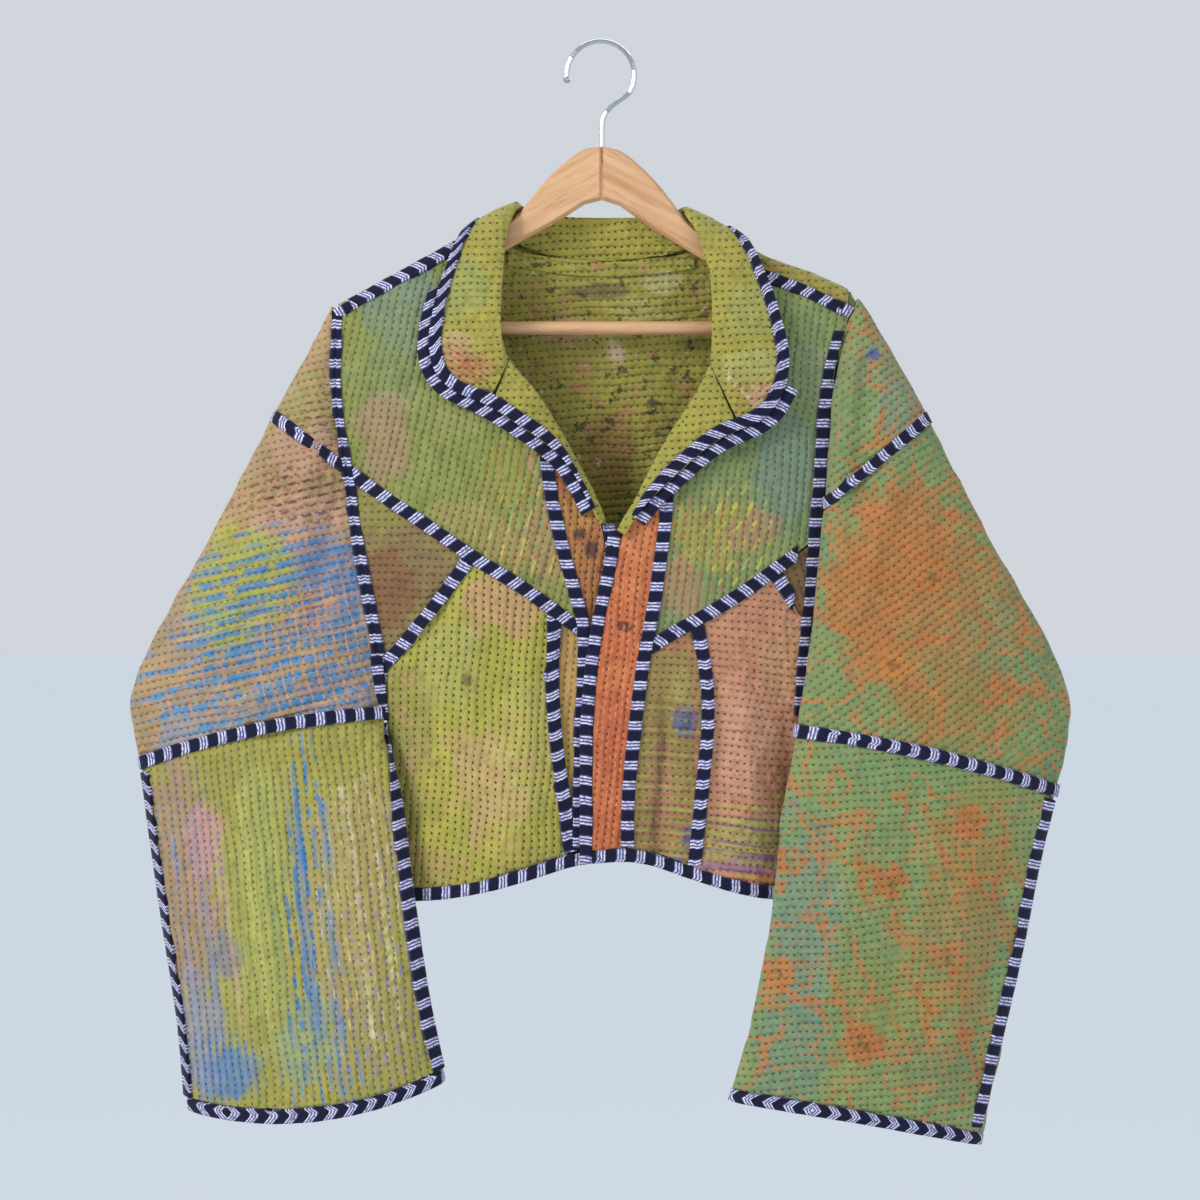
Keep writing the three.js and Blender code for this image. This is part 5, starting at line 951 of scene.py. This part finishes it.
STRIPED = Print("b0936a", "98825c", turn=12, grain=30, stitch="5a2a28", amount=0.6, tangles=(
    Tangle("c08a5c", 60, 0.012, 0.64, 0.6, 1.7),), lines=(
    Rows(-215, -310, 40, 34, 5, 6, 1.7, "7e2c2c", 0.8, 9, 0.62),
    Rows(-235, -365, 46, 26, 15, 7, 2.2, "742c28", 0.8, 12, 0.6),
    Rows(-240, -470, 110, 90, 15, 11, 4.6, "3b7fb0", 0.85),
    Rows(-250, -480, 120, 90, 15, 5.2, 1.6, "647c9a", 0.7),
    Rows(-290, -520, 110, 50, 14, 17, 5.5, "4388b8", 0.8),
    Rows(-230, -500, 60, 80, 104, 9, 1.5, "cf935c", 0.75),
    Rows(-320, -540, 50, 60, 102, 16, 2.2, "c98a58", 0.6)), patches=(
    Patch(-225, -292, 40, 30, "98905a", 0.7), Patch(-240, -330, 30, 22, "b7907a", 0.65),
    Patch(-245, -390, 44, 30, "b8947c", 0.75, 20), Patch(-222, -440, 30, 40, "5f76a0", 0.65, 10),
    Patch(-235, -455, 24, 16, "c18a5a", 0.8), Patch(-216, -520, 24, 18, "c08452", 0.75),
    Patch(-290, -440, 40, 52, "a0a542", 0.85, -30), Patch(-330, -560, 36, 36, "8190a0", 0.7),
    Patch(-215, -560, 26, 60, "7c93ac", 0.45), Patch(-290, -560, 44, 30, "a8906a", 0.6)),
    streaks=(
        *(Streak(-365 + 6 * i, -460 - 13 * i, -190, -415 - 13 * i, 3.2, "7890a8" if i % 2 else "c4a884", 0.55)
          for i in range(11)),
        *(Streak(-200 + 9 * i, -400 - 12 * i, -196 + 9 * i, -550, 4, "4078ac", 0.6, 26, 0.7)
          for i in range(3)),
        *(Streak(-262 - 10 * i, -340 - 8 * i, -205, -352 - 8 * i, 2.6, "7a2f2a", 0.7, 9, 0.45)
          for i in range(5))))
STRIPED_LOW = Print("a8a04c", "969046", turn=96, grain=30, stretch=2.6, stitch="4f4458", amount=0.75, lines=(
    Rows(-335, -700, 40, 130, 96, 6, 1.8, "6f7f9c", 0.7, 22, 0.7),
    Rows(-318, -660, 18, 60, 96, 5, 2.0, "c08a92", 0.7, 14, 0.7),
    Rows(-238, -690, 18, 150, 97, 9, 3.4, "2f78b4", 0.85, 60, 0.8),
    Rows(-190, -700, 44, 130, 100, 9, 1.2, "dcd2a8", 0.55, 16, 0.55),
    Rows(-175, -760, 50, 120, 100, 11, 1.6, "8a7cc0", 0.7, 18, 0.55),
    Rows(-305, -825, 34, 34, 96, 6, 2.6, "4079b0", 0.7),
    Rows(-215, -830, 40, 60, 98, 8, 2.4, "4a86b8", 0.7, 40, 0.7),
    Rows(-275, -690, 30, 150, 96, 7, 1.6, "6f8a50", 0.5)), patches=(
    Patch(-340, -680, 34, 90, "a47e68", 0.7), Patch(-318, -640, 14, 30, "c08f86", 0.7),
    Patch(-300, -735, 16, 18, "77708a", 0.7), Patch(-270, -690, 24, 110, "a5a457", 0.75),
    Patch(-200, -690, 42, 100, "a9985c", 0.8), Patch(-185, -780, 42, 60, "a08f58", 0.6),
    Patch(-300, -830, 24, 22, "5279a4", 0.75), Patch(-325, -800, 22, 50, "8c8aa0", 0.6),
    Patch(-235, -800, 24, 40, "8ea07a", 0.6)),
    streaks=(Streak(-248, -590, -226, -800, 5.5, "3c78b2", 0.9),
             Streak(-222, -610, -206, -840, 4.5, "4c7eae", 0.8),
             Streak(-330, -620, -300, -830, 4, "6c80a4", 0.65),
             Streak(-345, -640, -318, -840, 4, "8590ac", 0.6),
             Streak(-206, -600, -180, -800, 3, "ded6b4", 0.7, 12, 0.6),
             Streak(-188, -600, -158, -800, 3, "ded6b4", 0.65, 12, 0.6),
             Streak(-172, -620, -140, -810, 3, "9a8ac4", 0.7, 10, 0.45),
             Streak(-290, -600, -262, -820, 3.5, "c6c06a", 0.6),
             Streak(-272, -600, -246, -830, 3, "6d8a58", 0.6),
             Streak(-312, -610, -282, -830, 3, "c39a8c", 0.6)))


PETAL_TURN = 1.257  # radians from petal to petal


def branch(x: float, z: float, turn: float, length: float, colour: str) -> tuple[Streak, ...]:
    """A bent stem with three side shoots.

    Args:
        x: the stem's foot, millimetres to the right.
        z: the foot, millimetres up.
        turn: its direction in degrees.
        length: its length.
        colour: its colour.

    Returns:
        Its streaks.
    """
    a = math.radians(turn)
    kink = (x + length * 0.5 * math.cos(a), z + length * 0.5 * math.sin(a))
    b = a + 0.5
    tip = (kink[0] + length * 0.55 * math.cos(b), kink[1] + length * 0.55 * math.sin(b))
    marks = [Streak(x, z, *kink, 4.4, colour, 0.92), Streak(*kink, *tip, 3.8, colour, 0.9)]
    for share, side in ((0.25, 1.0), (0.45, -0.9), (0.75, 0.9)):
        start = (x + share * (tip[0] - x), z + share * (tip[1] - z))
        c = a + side
        end = (start[0] + 0.34 * length * math.cos(c), start[1] + 0.34 * length * math.sin(c))
        marks.append(Streak(*start, *end, 3.4, colour, 0.88))
    return tuple(marks)


def flower(x: float, z: float, size: float, colour: str) -> tuple[Patch, ...]:
    """Five petals round a darker eye.

    Args:
        x: the middle, millimetres to the right.
        z: the middle, millimetres up.
        size: from the middle to a petal's middle.
        colour: the petals' colour.

    Returns:
        Its patches.
    """
    petals = [Patch(x + size * math.cos(PETAL_TURN * k), z + size * math.sin(PETAL_TURN * k), size * 0.62,
                    size * 0.62, colour, 0.85) for k in range(5)]
    return (*petals, Patch(x, z, size * 0.5, size * 0.5, "7a5a2c", 0.8))


VINE = Print("86935a", "6f8a5c", turn=35, grain=30, stitch="6a3a22", amount=0.7, tangles=(
    Tangle("b97543", 19, 0.012, 0.66, 0.75, 2.3), Tangle("c07c48", 34, 0.009, 0.67, 0.7, 7.9),
    Tangle("4a90a8", 60, 0.0, 0.71, 0.5, 4.4)), patches=(
    Patch(225, -262, 28, 24, "8a8f66", 0.7), Patch(218, -252, 7, 6, "3f5a9c", 0.85),
    Patch(236, -300, 22, 26, "7f9078", 0.6), Patch(285, -470, 62, 74, "a9733e", 0.6),
    Patch(225, -440, 50, 80, "ac7440", 0.6), Patch(235, -400, 40, 44, "b3713c", 0.55),
    Patch(205, -450, 30, 44, "b06a38", 0.5), Patch(330, -480, 36, 44, "76885a", 0.6),
    Patch(290, -540, 44, 30, "8b8148", 0.6), Patch(250, -520, 26, 22, "9f7a40", 0.5),
    *flower(262, -430, 9, "bb6f3a"), *flower(322, -520, 9, "bb6f3a"), *flower(232, -500, 8, "c07a3a")),
    streaks=(*branch(205, -330, 20, 70, "bd743e"), *branch(215, -390, -35, 90, "bb6f3a"),
             *branch(250, -350, -50, 80, "bd743e"), *branch(185, -470, -20, 90, "bb6f3a"),
             *branch(280, -430, -55, 90, "b8703c"), *branch(250, -560, 15, 80, "bb6f3a")))
VINE_LOW = Print("8a955a", "74905f", turn=4, grain=30, stitch="5a3a26", amount=0.85, tangles=(
    Tangle("b97543", 18, 0.010, 0.67, 0.75, 6.1), Tangle("c07c50", 34, 0.008, 0.69, 0.65, 9.3)), patches=(
    Patch(160, -700, 30, 80, "6f8a78", 0.6), Patch(150, -800, 30, 50, "6f8a72", 0.6),
    Patch(300, -640, 30, 50, "8d8848", 0.6), Patch(230, -760, 50, 40, "8c8d4c", 0.5),
    Patch(286, -700, 34, 70, "a27a44", 0.5), Patch(270, -820, 36, 26, "7c8458", 0.6),
    *flower(228, -672, 10, "bb6c38"), *flower(292, -625, 9, "bb6c38"), *flower(206, -800, 11, "bb6c38"),
    *flower(150, -655, 8, "b8682f"), *flower(276, -735, 9, "bb6c38"), *flower(140, -745, 8, "c07a3a")),
    streaks=(*branch(150, -610, -55, 90, "bb6f3a"), *branch(200, -640, -80, 90, "b86c38"),
             *branch(255, -610, -70, 90, "bb6f3a"), *branch(320, -640, -100, 90, "b8703c"),
             *branch(180, -740, -70, 90, "bb6f3a"), *branch(240, -740, -60, 80, "b86c38"),
             *branch(290, -750, -95, 90, "bb6f3a"), *branch(120, -720, -60, 80, "b8703c")))


@dataclass
class Fronts(ClothSet):
    """The two fronts: yokes, side gores, lower fronts, princess panels and front bands."""

    folds: tuple[Fold, ...] = (
        Fold(-128, -430, -150, -560, 9, -2.6), Fold(-60, -480, -58, -640, 10, 2.9),
        Fold(-92, -500, -98, -650, 8, -2.2), Fold(-150, -250, -60, -300, 10, 2.1),
        Fold(-120, -330, -50, -380, 9, -1.9), Fold(-180, -240, -110, -400, 9, 1.9),
        Fold(-170, -590, -165, -680, 8, 3.2), Fold(-30, -480, -28, -660, 6, -1.6),
        Fold(110, -250, 160, -330, 10, 2.6), Fold(85, -300, 150, -370, 9, -2.6),
        Fold(80, -360, 140, -400, 8, 2.1), Fold(52, -520, 44, -690, 5, -5.1),
        Fold(66, -500, 60, -690, 7, 2.6), Fold(110, -480, 122, -640, 10, 2.7),
        Fold(140, -500, 160, -660, 9, -2.2), Fold(92, -520, 96, -680, 8, -2.2),
        Fold(30, -360, 24, -470, 7, 1.4))

    def build(self) -> None:
        """Makes the ten cloths of the fronts."""
        table = {
            "yoke_l": (SAGE_L, "cloth_sage", Cut(200, 320, 33313)),
            "yoke_r": (SAGE_R, "cloth_sage", Cut(176, 327, 29298)),
            "side_l": (BROWN_L, "cloth_brown", Cut(105, 160, 7413)),
            "side_r": (BROWN_R, "cloth_brown", Cut(44, 82, 1525)),
            "lower_l": (OLIVE_L, "cloth_olive", Cut(162, 280, 33054)),
            "lower_r": (ROSE_R, "cloth_rose", Cut(110, 296, 21170)),
            "princess_l": (STRAW_L, "cloth_olive", Cut(25, 235, 3285)),
            "princess_r": (OLIVE_R, "cloth_brown", Cut(64, 235, 9723)),
            "band_l": (BAND_L, "cloth_orange", Cut(55, 362, 8691)),
            "band_r": (BAND_R, "cloth_orange", Cut(61, 337, 9514)),
        }
        for seed, (name, (design, slot, cut)) in enumerate(table.items(), start=10):
            self.sew(ClothPiece("front_" + name, QuiltedCotton("cotton_" + name, design), slot, cut,
                                Face.FRONT, folds=self.folds, seed=seed * 7))


@dataclass
class Sleeves(ClothSet):
    """The two wide sleeves: caps, upper parts and the lower parts' fronts and backs."""

    folds_l: tuple[Fold, ...] = (
        Fold(-226, -300, -246, -420, 8, 3.2), Fold(-210, -350, -232, -470, 8, -3.2),
        Fold(-270, -400, -330, -520, 12, 2.6), Fold(-200, -480, -300, -545, 10, 2.9),
        Fold(-190, -510, -280, -565, 8, -2.9), Fold(-215, -600, -170, -790, 12, 3.2),
        Fold(-250, -610, -215, -820, 11, -2.9), Fold(-300, -640, -275, -840, 12, 2.9),
        Fold(-330, -640, -310, -840, 9, -1.9))
    folds_r: tuple[Fold, ...] = (
        Fold(205, -240, 182, -370, 6, 3.8), Fold(216, -250, 200, -400, 7, -3.8),
        Fold(240, -330, 200, -470, 9, 2.9), Fold(280, -400, 330, -520, 12, -2.6),
        Fold(190, -450, 290, -530, 9, 3.2), Fold(180, -490, 280, -555, 8, -2.9),
        Fold(210, -600, 170, -820, 12, 3.2), Fold(250, -610, 220, -850, 11, -2.9),
        Fold(295, -640, 270, -850, 12, 2.9), Fold(325, -650, 300, -850, 8, -1.9))

    def build(self) -> None:
        """Makes the eight cloths of the sleeves."""
        table = {
            "cap_l": (STRIPED, Cut(175, 100, 8271)), "upper_l": (STRIPED, Cut(425, 300, 72463)),
            "lower_front_l": (STRIPED_LOW, Cut(230, 300, 60166)),
            "lower_back_l": (STRIPED_LOW, Cut(245, 300, 65132)),
            "cap_r": (VINE, Cut(260, 130, 17210)), "upper_r": (VINE, Cut(460, 300, 89857)),
            "lower_front_r": (VINE_LOW, Cut(245, 300, 67298)),
            "lower_back_r": (VINE_LOW, Cut(225, 300, 58253)),
        }
        for name, (design, cut) in table.items():
            side = name[-1]
            group = "lower_front lower_back" if "lower" in name else name[:-2]
            plane = tuple(f"sleeve_{part}_{side}" for part in group.split())
            slot, folds = ("cloth_striped", self.folds_l) if side == "l" else ("cloth_vine", self.folds_r)
            self.sew(ClothPiece("sleeve_" + name, QuiltedCotton("cotton_sleeve_" + name, design), slot, cut,
                                Face.ROUND, plane, folds, seed=200 + ord(side), crinkle=0.85))


@dataclass
class BackAndCollar(ClothSet):
    """The back, the tape inside its neck, the turned collar and the two lapels."""

    folds: tuple[Fold, ...] = (
        Fold(-60, -260, -80, -640, 12, 3.2), Fold(-130, -320, -140, -660, 11, -2.9),
        Fold(20, -300, 30, -660, 12, 2.9), Fold(90, -280, 110, -660, 12, -2.9),
        Fold(140, -400, 150, -660, 10, 2.6))

    def build(self) -> None:
        """Makes the five cloths."""
        table = {
            "back": (INSIDE, Cut(415, 575, 190267), Face.BACK, self.folds, 0.85),
            "neck_tape": (INSIDE, Cut(160, 10, 1393), Face.NONE, (), 0.1),
            "collar": (TURNED, Cut(455, 85, 36845), Face.NONE, (), 0.45),
            "lapel_l": (TURNED, Cut(120, 35, 2760), Face.NONE, (), 0.3),
            "lapel_r": (TURNED, Cut(165, 38, 3522), Face.NONE, (), 0.3),
        }
        for seed, (name, (design, cut, face, folds, crinkle)) in enumerate(table.items(), start=60):
            self.sew(ClothPiece(name, QuiltedCotton("cotton_" + name, design), "cloth_olive", cut, face,
                                folds=folds, seed=seed, crinkle=crinkle))


@dataclass
class Bindings:
    """The striped strips over the seams and round every edge."""

    levels: int = 2
    crease: float = 0.72
    reach: float = 2.6
    bed: float = 0.12
    width: float = 10.0
    start: float = 0.3
    phase: float = 5.3
    pieces: dict[str, bpy.types.Object] = field(default_factory=dict)

    def build(self, cloths: list[bpy.types.Object]) -> None:
        """Makes every strip and beds it on the cloth under it.

        Args:
            cloths: the finished cloths.
        """
        material = StripedBinding().material()
        ground = self.surface(cloths)
        for node in sorted(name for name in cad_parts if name.endswith("_binding")):
            piece = refined(node, node + "_strip", self.levels, self.crease)
            mesh = piece.data
            places = places_of(mesh)
            store(mesh, "along", self.way_along(mesh, places) + self.phase * len(self.pieces))
            places = self.bedded(mesh, places, ground)
            ripple = 0.22 * noise(places, 9, 5) + 0.18 * noise(places, 4.5, 6)
            move_to(mesh, places)
            move_to(mesh, places + normals_of(mesh) * ripple[:, None])
            dress(mesh, material)
            self.pieces[node] = piece
        LOG.info("bindings: %d strips", len(self.pieces))

    def surface(self, cloths: list[bpy.types.Object]) -> BVHTree:
        """A search tree of all the cloths together.

        Args:
            cloths: the cloths.

        Returns:
            The tree.
        """
        corners: list[tuple[float, ...]] = []
        faces: list[tuple[int, ...]] = []
        for cloth in cloths:
            first = len(corners)
            corners.extend(tuple(v.co) for v in cloth.data.vertices)
            faces.extend(tuple(first + i for i in p.vertices) for p in cloth.data.polygons)
        return BVHTree.FromPolygons(corners, faces)

    def bedded(self, mesh: bpy.types.Mesh, places: Points, ground: BVHTree) -> Points:
        """Lowers a strip's underside on to the cloth.

        Args:
            mesh: the strip's mesh.
            places: its vertex places.
            ground: the cloths.

        Returns:
            The new places.
        """
        moved = places.copy()
        for i, (place, normal) in enumerate(zip(places, normals_of(mesh))):
            ray = Vector(normal)
            below = Vector(place * MM) - ray * self.start * MM
            hit = ground.ray_cast(below, ray, (self.reach + self.start) * MM)
            if hit[0] is not None and hit[1].dot(ray) < -0.5:
                moved[i] = place + normal * (hit[3] / MM - self.start - self.bed)
        return moved

    def way_along(self, mesh: bpy.types.Mesh, places: Points) -> Points:
        """Distance along a strip from one of its ends, in millimetres.

        Args:
            mesh: the strip's mesh.
            places: its vertex places.

        Returns:
            The distance at each vertex.
        """
        links: list[list[tuple[int, float]]] = [[] for _ in range(len(places))]
        for edge in mesh.edges:
            a, b = edge.vertices
            step = float(np.linalg.norm(places[a] - places[b]))
            links[a].append((b, step))
            links[b].append((a, step))
        far = int(np.argmax(self.spread(links, [0])))
        end = int(np.argmax(self.spread(links, [far])))
        near = np.linalg.norm(places - places[end], axis=1)
        group = places[near < 2.6 * self.width] - places[near < 2.6 * self.width].mean(axis=0)
        axis = np.linalg.svd(group, full_matrices=False)[2][0]
        level = np.abs((places - places[end]) @ axis)
        seeds = np.nonzero((near < 1.3 * self.width) & (level < 1.2))[0]
        return self.spread(links, [int(i) for i in seeds])

    @staticmethod
    def spread(links: list[list[tuple[int, float]]], seeds: list[int]) -> Points:
        """Shortest way over the edges from a set of vertices to every other one.

        Args:
            links: for each vertex its neighbours and the way to them.
            seeds: the vertices to start from.

        Returns:
            The way to each vertex.
        """
        reach = np.full(len(links), 1e9)
        queue = [(0.0, seed) for seed in seeds]
        for seed in seeds:
            reach[seed] = 0.0
        while queue:
            distance, at = heapq.heappop(queue)
            if distance > reach[at]:
                continue
            for other, step in links[at]:
                if distance + step < reach[other]:
                    reach[other] = distance + step
                    heapq.heappush(queue, (distance + step, other))
        return np.where(reach > 1e8, 0.0, reach)


@dataclass
class Ribbons:
    """Short strips that carry the bindings on over the shoulder tips and the underarms."""

    width: float = 9.5
    thickness: float = 1.5
    step: float = 2.0
    routes: dict[str, tuple[tuple[float, float, float], ...]] = field(default_factory=lambda: {
        "underarm_l": ((-181.5, -19.5, -494), (-180, -18, -507), (-178.5, -14.5, -524), (-176.5, -10, -546)),
        "shoulder_tip_l": ((-202, -10.5, -211.2), (-208, -10.4, -214.8), (-214.5, -9.6, -218.6)),
        "shoulder_tip_r": ((188, -11.2, -210.3), (195, -11, -213.6), (201, -10.4, -217)),
    })
    corner: tuple[tuple[float, float, float], ...] = ((196.5, -2, -201), (202, -3, -212), (204.5, -4, -226))
    corner_seed: int = 314
    pieces: dict[str, bpy.types.Object] = field(default_factory=dict)

    def build(self) -> None:
        """Makes each strip."""
        material = StripedBinding("striped_binding_ends").material()
        for name, route in self.routes.items():
            piece = self.strip(name + "_ribbon", np.array(route, dtype=float))
            piece.data.materials.append(material)
            self.pieces[name + "_binding"] = piece
        cover = self.strip("shoulder_corner_r_cloth", np.array(self.corner, dtype=float))
        paint(cover.data, "dye_and_painted_shade", dyed_with_painted_shade(VINE, places_of(cover.data), self.corner_seed))
        cover.data.materials.append(QuiltedCotton("cotton_corner_r", VINE).material())
        self.pieces["shoulder_corner_r_binding"] = cover
        LOG.info("ribbons: %d", len(self.pieces))

    def strip(self, name: str, route: Points) -> bpy.types.Object:
        """Makes a strip with a domed face along a route.

        Args:
            name: the piece's name.
            route: the route's points.

        Returns:
            The new piece.
        """
        lengths = np.concatenate([[0], np.cumsum(np.linalg.norm(np.diff(route, axis=0), axis=1))])
        stops = np.linspace(0, lengths[-1], max(3, int(lengths[-1] / self.step)))
        middle = np.column_stack([np.interp(stops, lengths, route[:, k]) for k in range(3)])
        ahead = np.gradient(middle, axis=0)
        ahead /= np.linalg.norm(ahead, axis=1)[:, None]
        aside = np.cross(ahead, (0, -1, 0))
        aside /= np.linalg.norm(aside, axis=1)[:, None]
        shape = [(f, math.cos(f * math.pi / 2) ** 0.6 * self.thickness) for f in np.linspace(-1, 1, 9)]
        shape += [(f, -0.3) for f in np.linspace(1, -1, 5)]
        corners = [middle + aside * f * self.width / 2 + np.array((0, -1, 0)) * h for f, h in shape]
        grid = np.stack(corners, axis=1)
        rows, columns = grid.shape[:2]
        faces = [(i * columns + j, i * columns + (j + 1) % columns, (i + 1) * columns + (j + 1) % columns,
                  (i + 1) * columns + j) for i in range(rows - 1) for j in range(columns)]
        faces += [tuple(range(columns))[::-1], tuple((rows - 1) * columns + j for j in range(columns))]
        mesh = bpy.data.meshes.new(name)
        mesh.from_pydata((grid.reshape(-1, 3) * MM).tolist(), [], faces)
        form = bmesh.new()
        form.from_mesh(mesh)
        bmesh.ops.recalc_face_normals(form, faces=form.faces)
        form.to_mesh(mesh)
        form.free()
        mesh.polygons.foreach_set("use_smooth", [True] * len(mesh.polygons))
        store(mesh, "along", np.repeat(stops, columns))
        piece = bpy.data.objects.new(name, mesh)
        bpy.context.scene.collection.objects.link(piece)
        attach(piece, "root")
        return piece


@dataclass
class Hanger:
    """The wooden hanger: two mitred halves, a bar and the wire hook."""

    edge_round: float = 0.8
    edge_angle: float = 28.0
    arm_slope: float = 28.0

    def build(self) -> None:
        """Dresses the hanger's own solids."""
        turns = {"hanger_wood_l": self.arm_slope, "hanger_wood_r": -self.arm_slope, "hanger_bar": 0.0}
        for node, turn in turns.items():
            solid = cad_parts[node]
            if node != "hanger_bar":
                soften = solid.modifiers.new("soften", "BEVEL")
                soften.width = self.edge_round * MM
                soften.segments = 3
                soften.limit_method = "ANGLE"
                soften.angle_limit = math.radians(self.edge_angle)
            self.finish(solid, VarnishedBeech("beech_" + node, turn).material())
        self.finish(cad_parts["hook"], PolishedWire().material())
        LOG.info("hanger: wood, bar and hook")

    @staticmethod
    def finish(solid: bpy.types.Object, material: bpy.types.Material) -> None:
        """Gives a solid its material and smooth shading across its gentle edges."""
        dress(solid.data, material)
        solid.data.shade_smooth()


@dataclass(frozen=True)
class Lamp:
    """A soft square light, in metres and watts."""

    name: str
    place: tuple[float, float, float]
    size: float
    power: float


@dataclass
class Studio:
    """Camera, floor, world and soft lights."""

    lens: float = 90.0
    distance: float = 2.43
    across: float = -0.00162
    height: float = -0.4487
    floor_drop: float = 1.2
    floor_size: float = 180.0
    glow: float = 0.14
    surround: float = 0.80
    pale: Colour = (0.785, 0.835, 0.89)
    lamps: tuple[Lamp, ...] = (
        Lamp("key", (-2.2, -1.9, 1.0), 1.1, 62), Lamp("fill", (1.8, -2.4, 0.1), 1.8, 10),
        Lamp("back", (0.3, 2.6, 0.8), 2.0, 26))

    def build(self) -> None:
        """Sets up everything that isn't part of the object."""
        bpy.context.scene.view_settings.view_transform = "Standard"
        self.camera()
        self.floor()
        self.world()
        for lamp in self.lamps:
            self.hang(lamp)
        LOG.info("studio: camera, floor and lights")

    def camera(self) -> None:
        """Places the camera straight in front of the jacket."""
        lens = bpy.data.cameras.new("camera")
        lens.sensor_width = 36
        lens.lens = self.lens
        lens.clip_end = 100
        camera = bpy.data.objects.new("camera", lens)
        camera.location = (self.across, -self.distance, self.height)
        camera.rotation_euler = (math.pi / 2, 0, 0)
        bpy.context.scene.collection.objects.link(camera)
        bpy.context.scene.camera = camera

    def floor(self) -> None:
        """Lays a wide pale floor well below the cuffs."""
        z = SIZES["cad"][0][2] - self.floor_drop
        half = self.floor_size / 2
        mesh = bpy.data.meshes.new("floor")
        corners = [(-half, -half, z), (half, -half, z), (half, half, z), (-half, half, z)]
        mesh.from_pydata(corners, [], [(0, 1, 2, 3)])
        floor = bpy.data.objects.new("floor", mesh)
        bpy.context.scene.collection.objects.link(floor)
        nodes = Nodes("pale_floor")
        nodes.surface(base_color=(*self.pale, 1), roughness=0.9, specular_ior_level=0.0,
                      emission_color=(*self.pale, 1), emission_strength=self.glow)
        mesh.materials.append(nodes.material)
        floor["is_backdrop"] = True

    def world(self) -> None:
        """Gives an even pale surround."""
        world = bpy.data.worlds.new("surround")
        bpy.context.scene.world = world
        world.use_nodes = True
        ground = world.node_tree.nodes["Background"]
        ground.inputs["Color"].default_value = (*self.pale, 1)
        ground.inputs["Strength"].default_value = self.surround

    def hang(self, lamp: Lamp) -> None:
        """Hangs a light so that it faces the middle of the jacket.

        Args:
            lamp: the light.
        """
        light = bpy.data.lights.new(lamp.name, "AREA")
        light.size = lamp.size
        light.energy = lamp.power
        holder = bpy.data.objects.new(lamp.name, light)
        holder.location = lamp.place
        way = Vector((0, 0, self.height)) - Vector(lamp.place)
        holder.rotation_euler = way.to_track_quat("-Z", "Y").to_euler()
        bpy.context.scene.collection.objects.link(holder)


BOUND_BY = {
    "back": "armhole_back_l armhole_back_r hem_back shoulder_l shoulder_r shoulder_tip_l shoulder_tip_r",
    "collar": "collar collar_under_l collar_under_r",
    "sleeve_cap_l": "sleeve_cap_l", "sleeve_cap_r": "sleeve_cap_r shoulder_corner_r",
    "sleeve_upper_l": "elbow_l underarm_l", "sleeve_upper_r": "elbow_r",
    "front_yoke": "armhole diagonal", "front_side": "side", "front_lower": "princess hem",
    "front_band": "band front_edge", "sleeve_lower_front": "sleeve_outer sleeve_inner cuff",
}


def bound_by(node: str) -> list[str]:
    """Names of the bindings on a cloth.

    Args:
        node: the cloth's node.

    Returns:
        The bindings' names, with their side.
    """
    if node in BOUND_BY:
        return BOUND_BY[node].split()
    return [f"{strip}_{node[-1]}" for strip in BOUND_BY.get(node[:-2], "").split()]


def declare_cloths(cloths: dict[str, ClothPiece], strips: dict[str, bpy.types.Object]) -> None:
    """Gathers each cloth's bindings and the hanger parts it rests on, and passes them to the cloth's declare,
    which does nothing with them.

    Args:
        cloths: the cloths by their nodes.
        strips: the bindings by their names.
    """
    for node, cloth in cloths.items():
        bound = [strips[name + "_binding"] for name in bound_by(node)]
        side = "hanger_wood_r" if node.endswith("_r") else "hanger_wood_l"
        middle = node in ("back", "collar", "neck_tape")
        cloth.declare(["hanger_wood_l", "hanger_wood_r"] if middle else [side], bound)


def main() -> None:
    """Builds the jacket, its hanger and the studio."""
    logging.basicConfig(level=logging.INFO, format="%(message)s")
    studio = Studio()
    studio.build()
    fronts, sleeves, rest = Fronts(), Sleeves(), BackAndCollar()
    for part in (fronts, sleeves, rest):
        part.build()
    cloths = {**fronts.pieces, **sleeves.pieces, **rest.pieces}
    bindings = Bindings()
    bindings.build([cloth.body for cloth in cloths.values()])
    ribbons = Ribbons()
    ribbons.build()
    declare_cloths(cloths, {**bindings.pieces, **ribbons.pieces})
    Hanger().build()
    SIZES["visual"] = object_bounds()


if __name__ == "__main__":
    main()
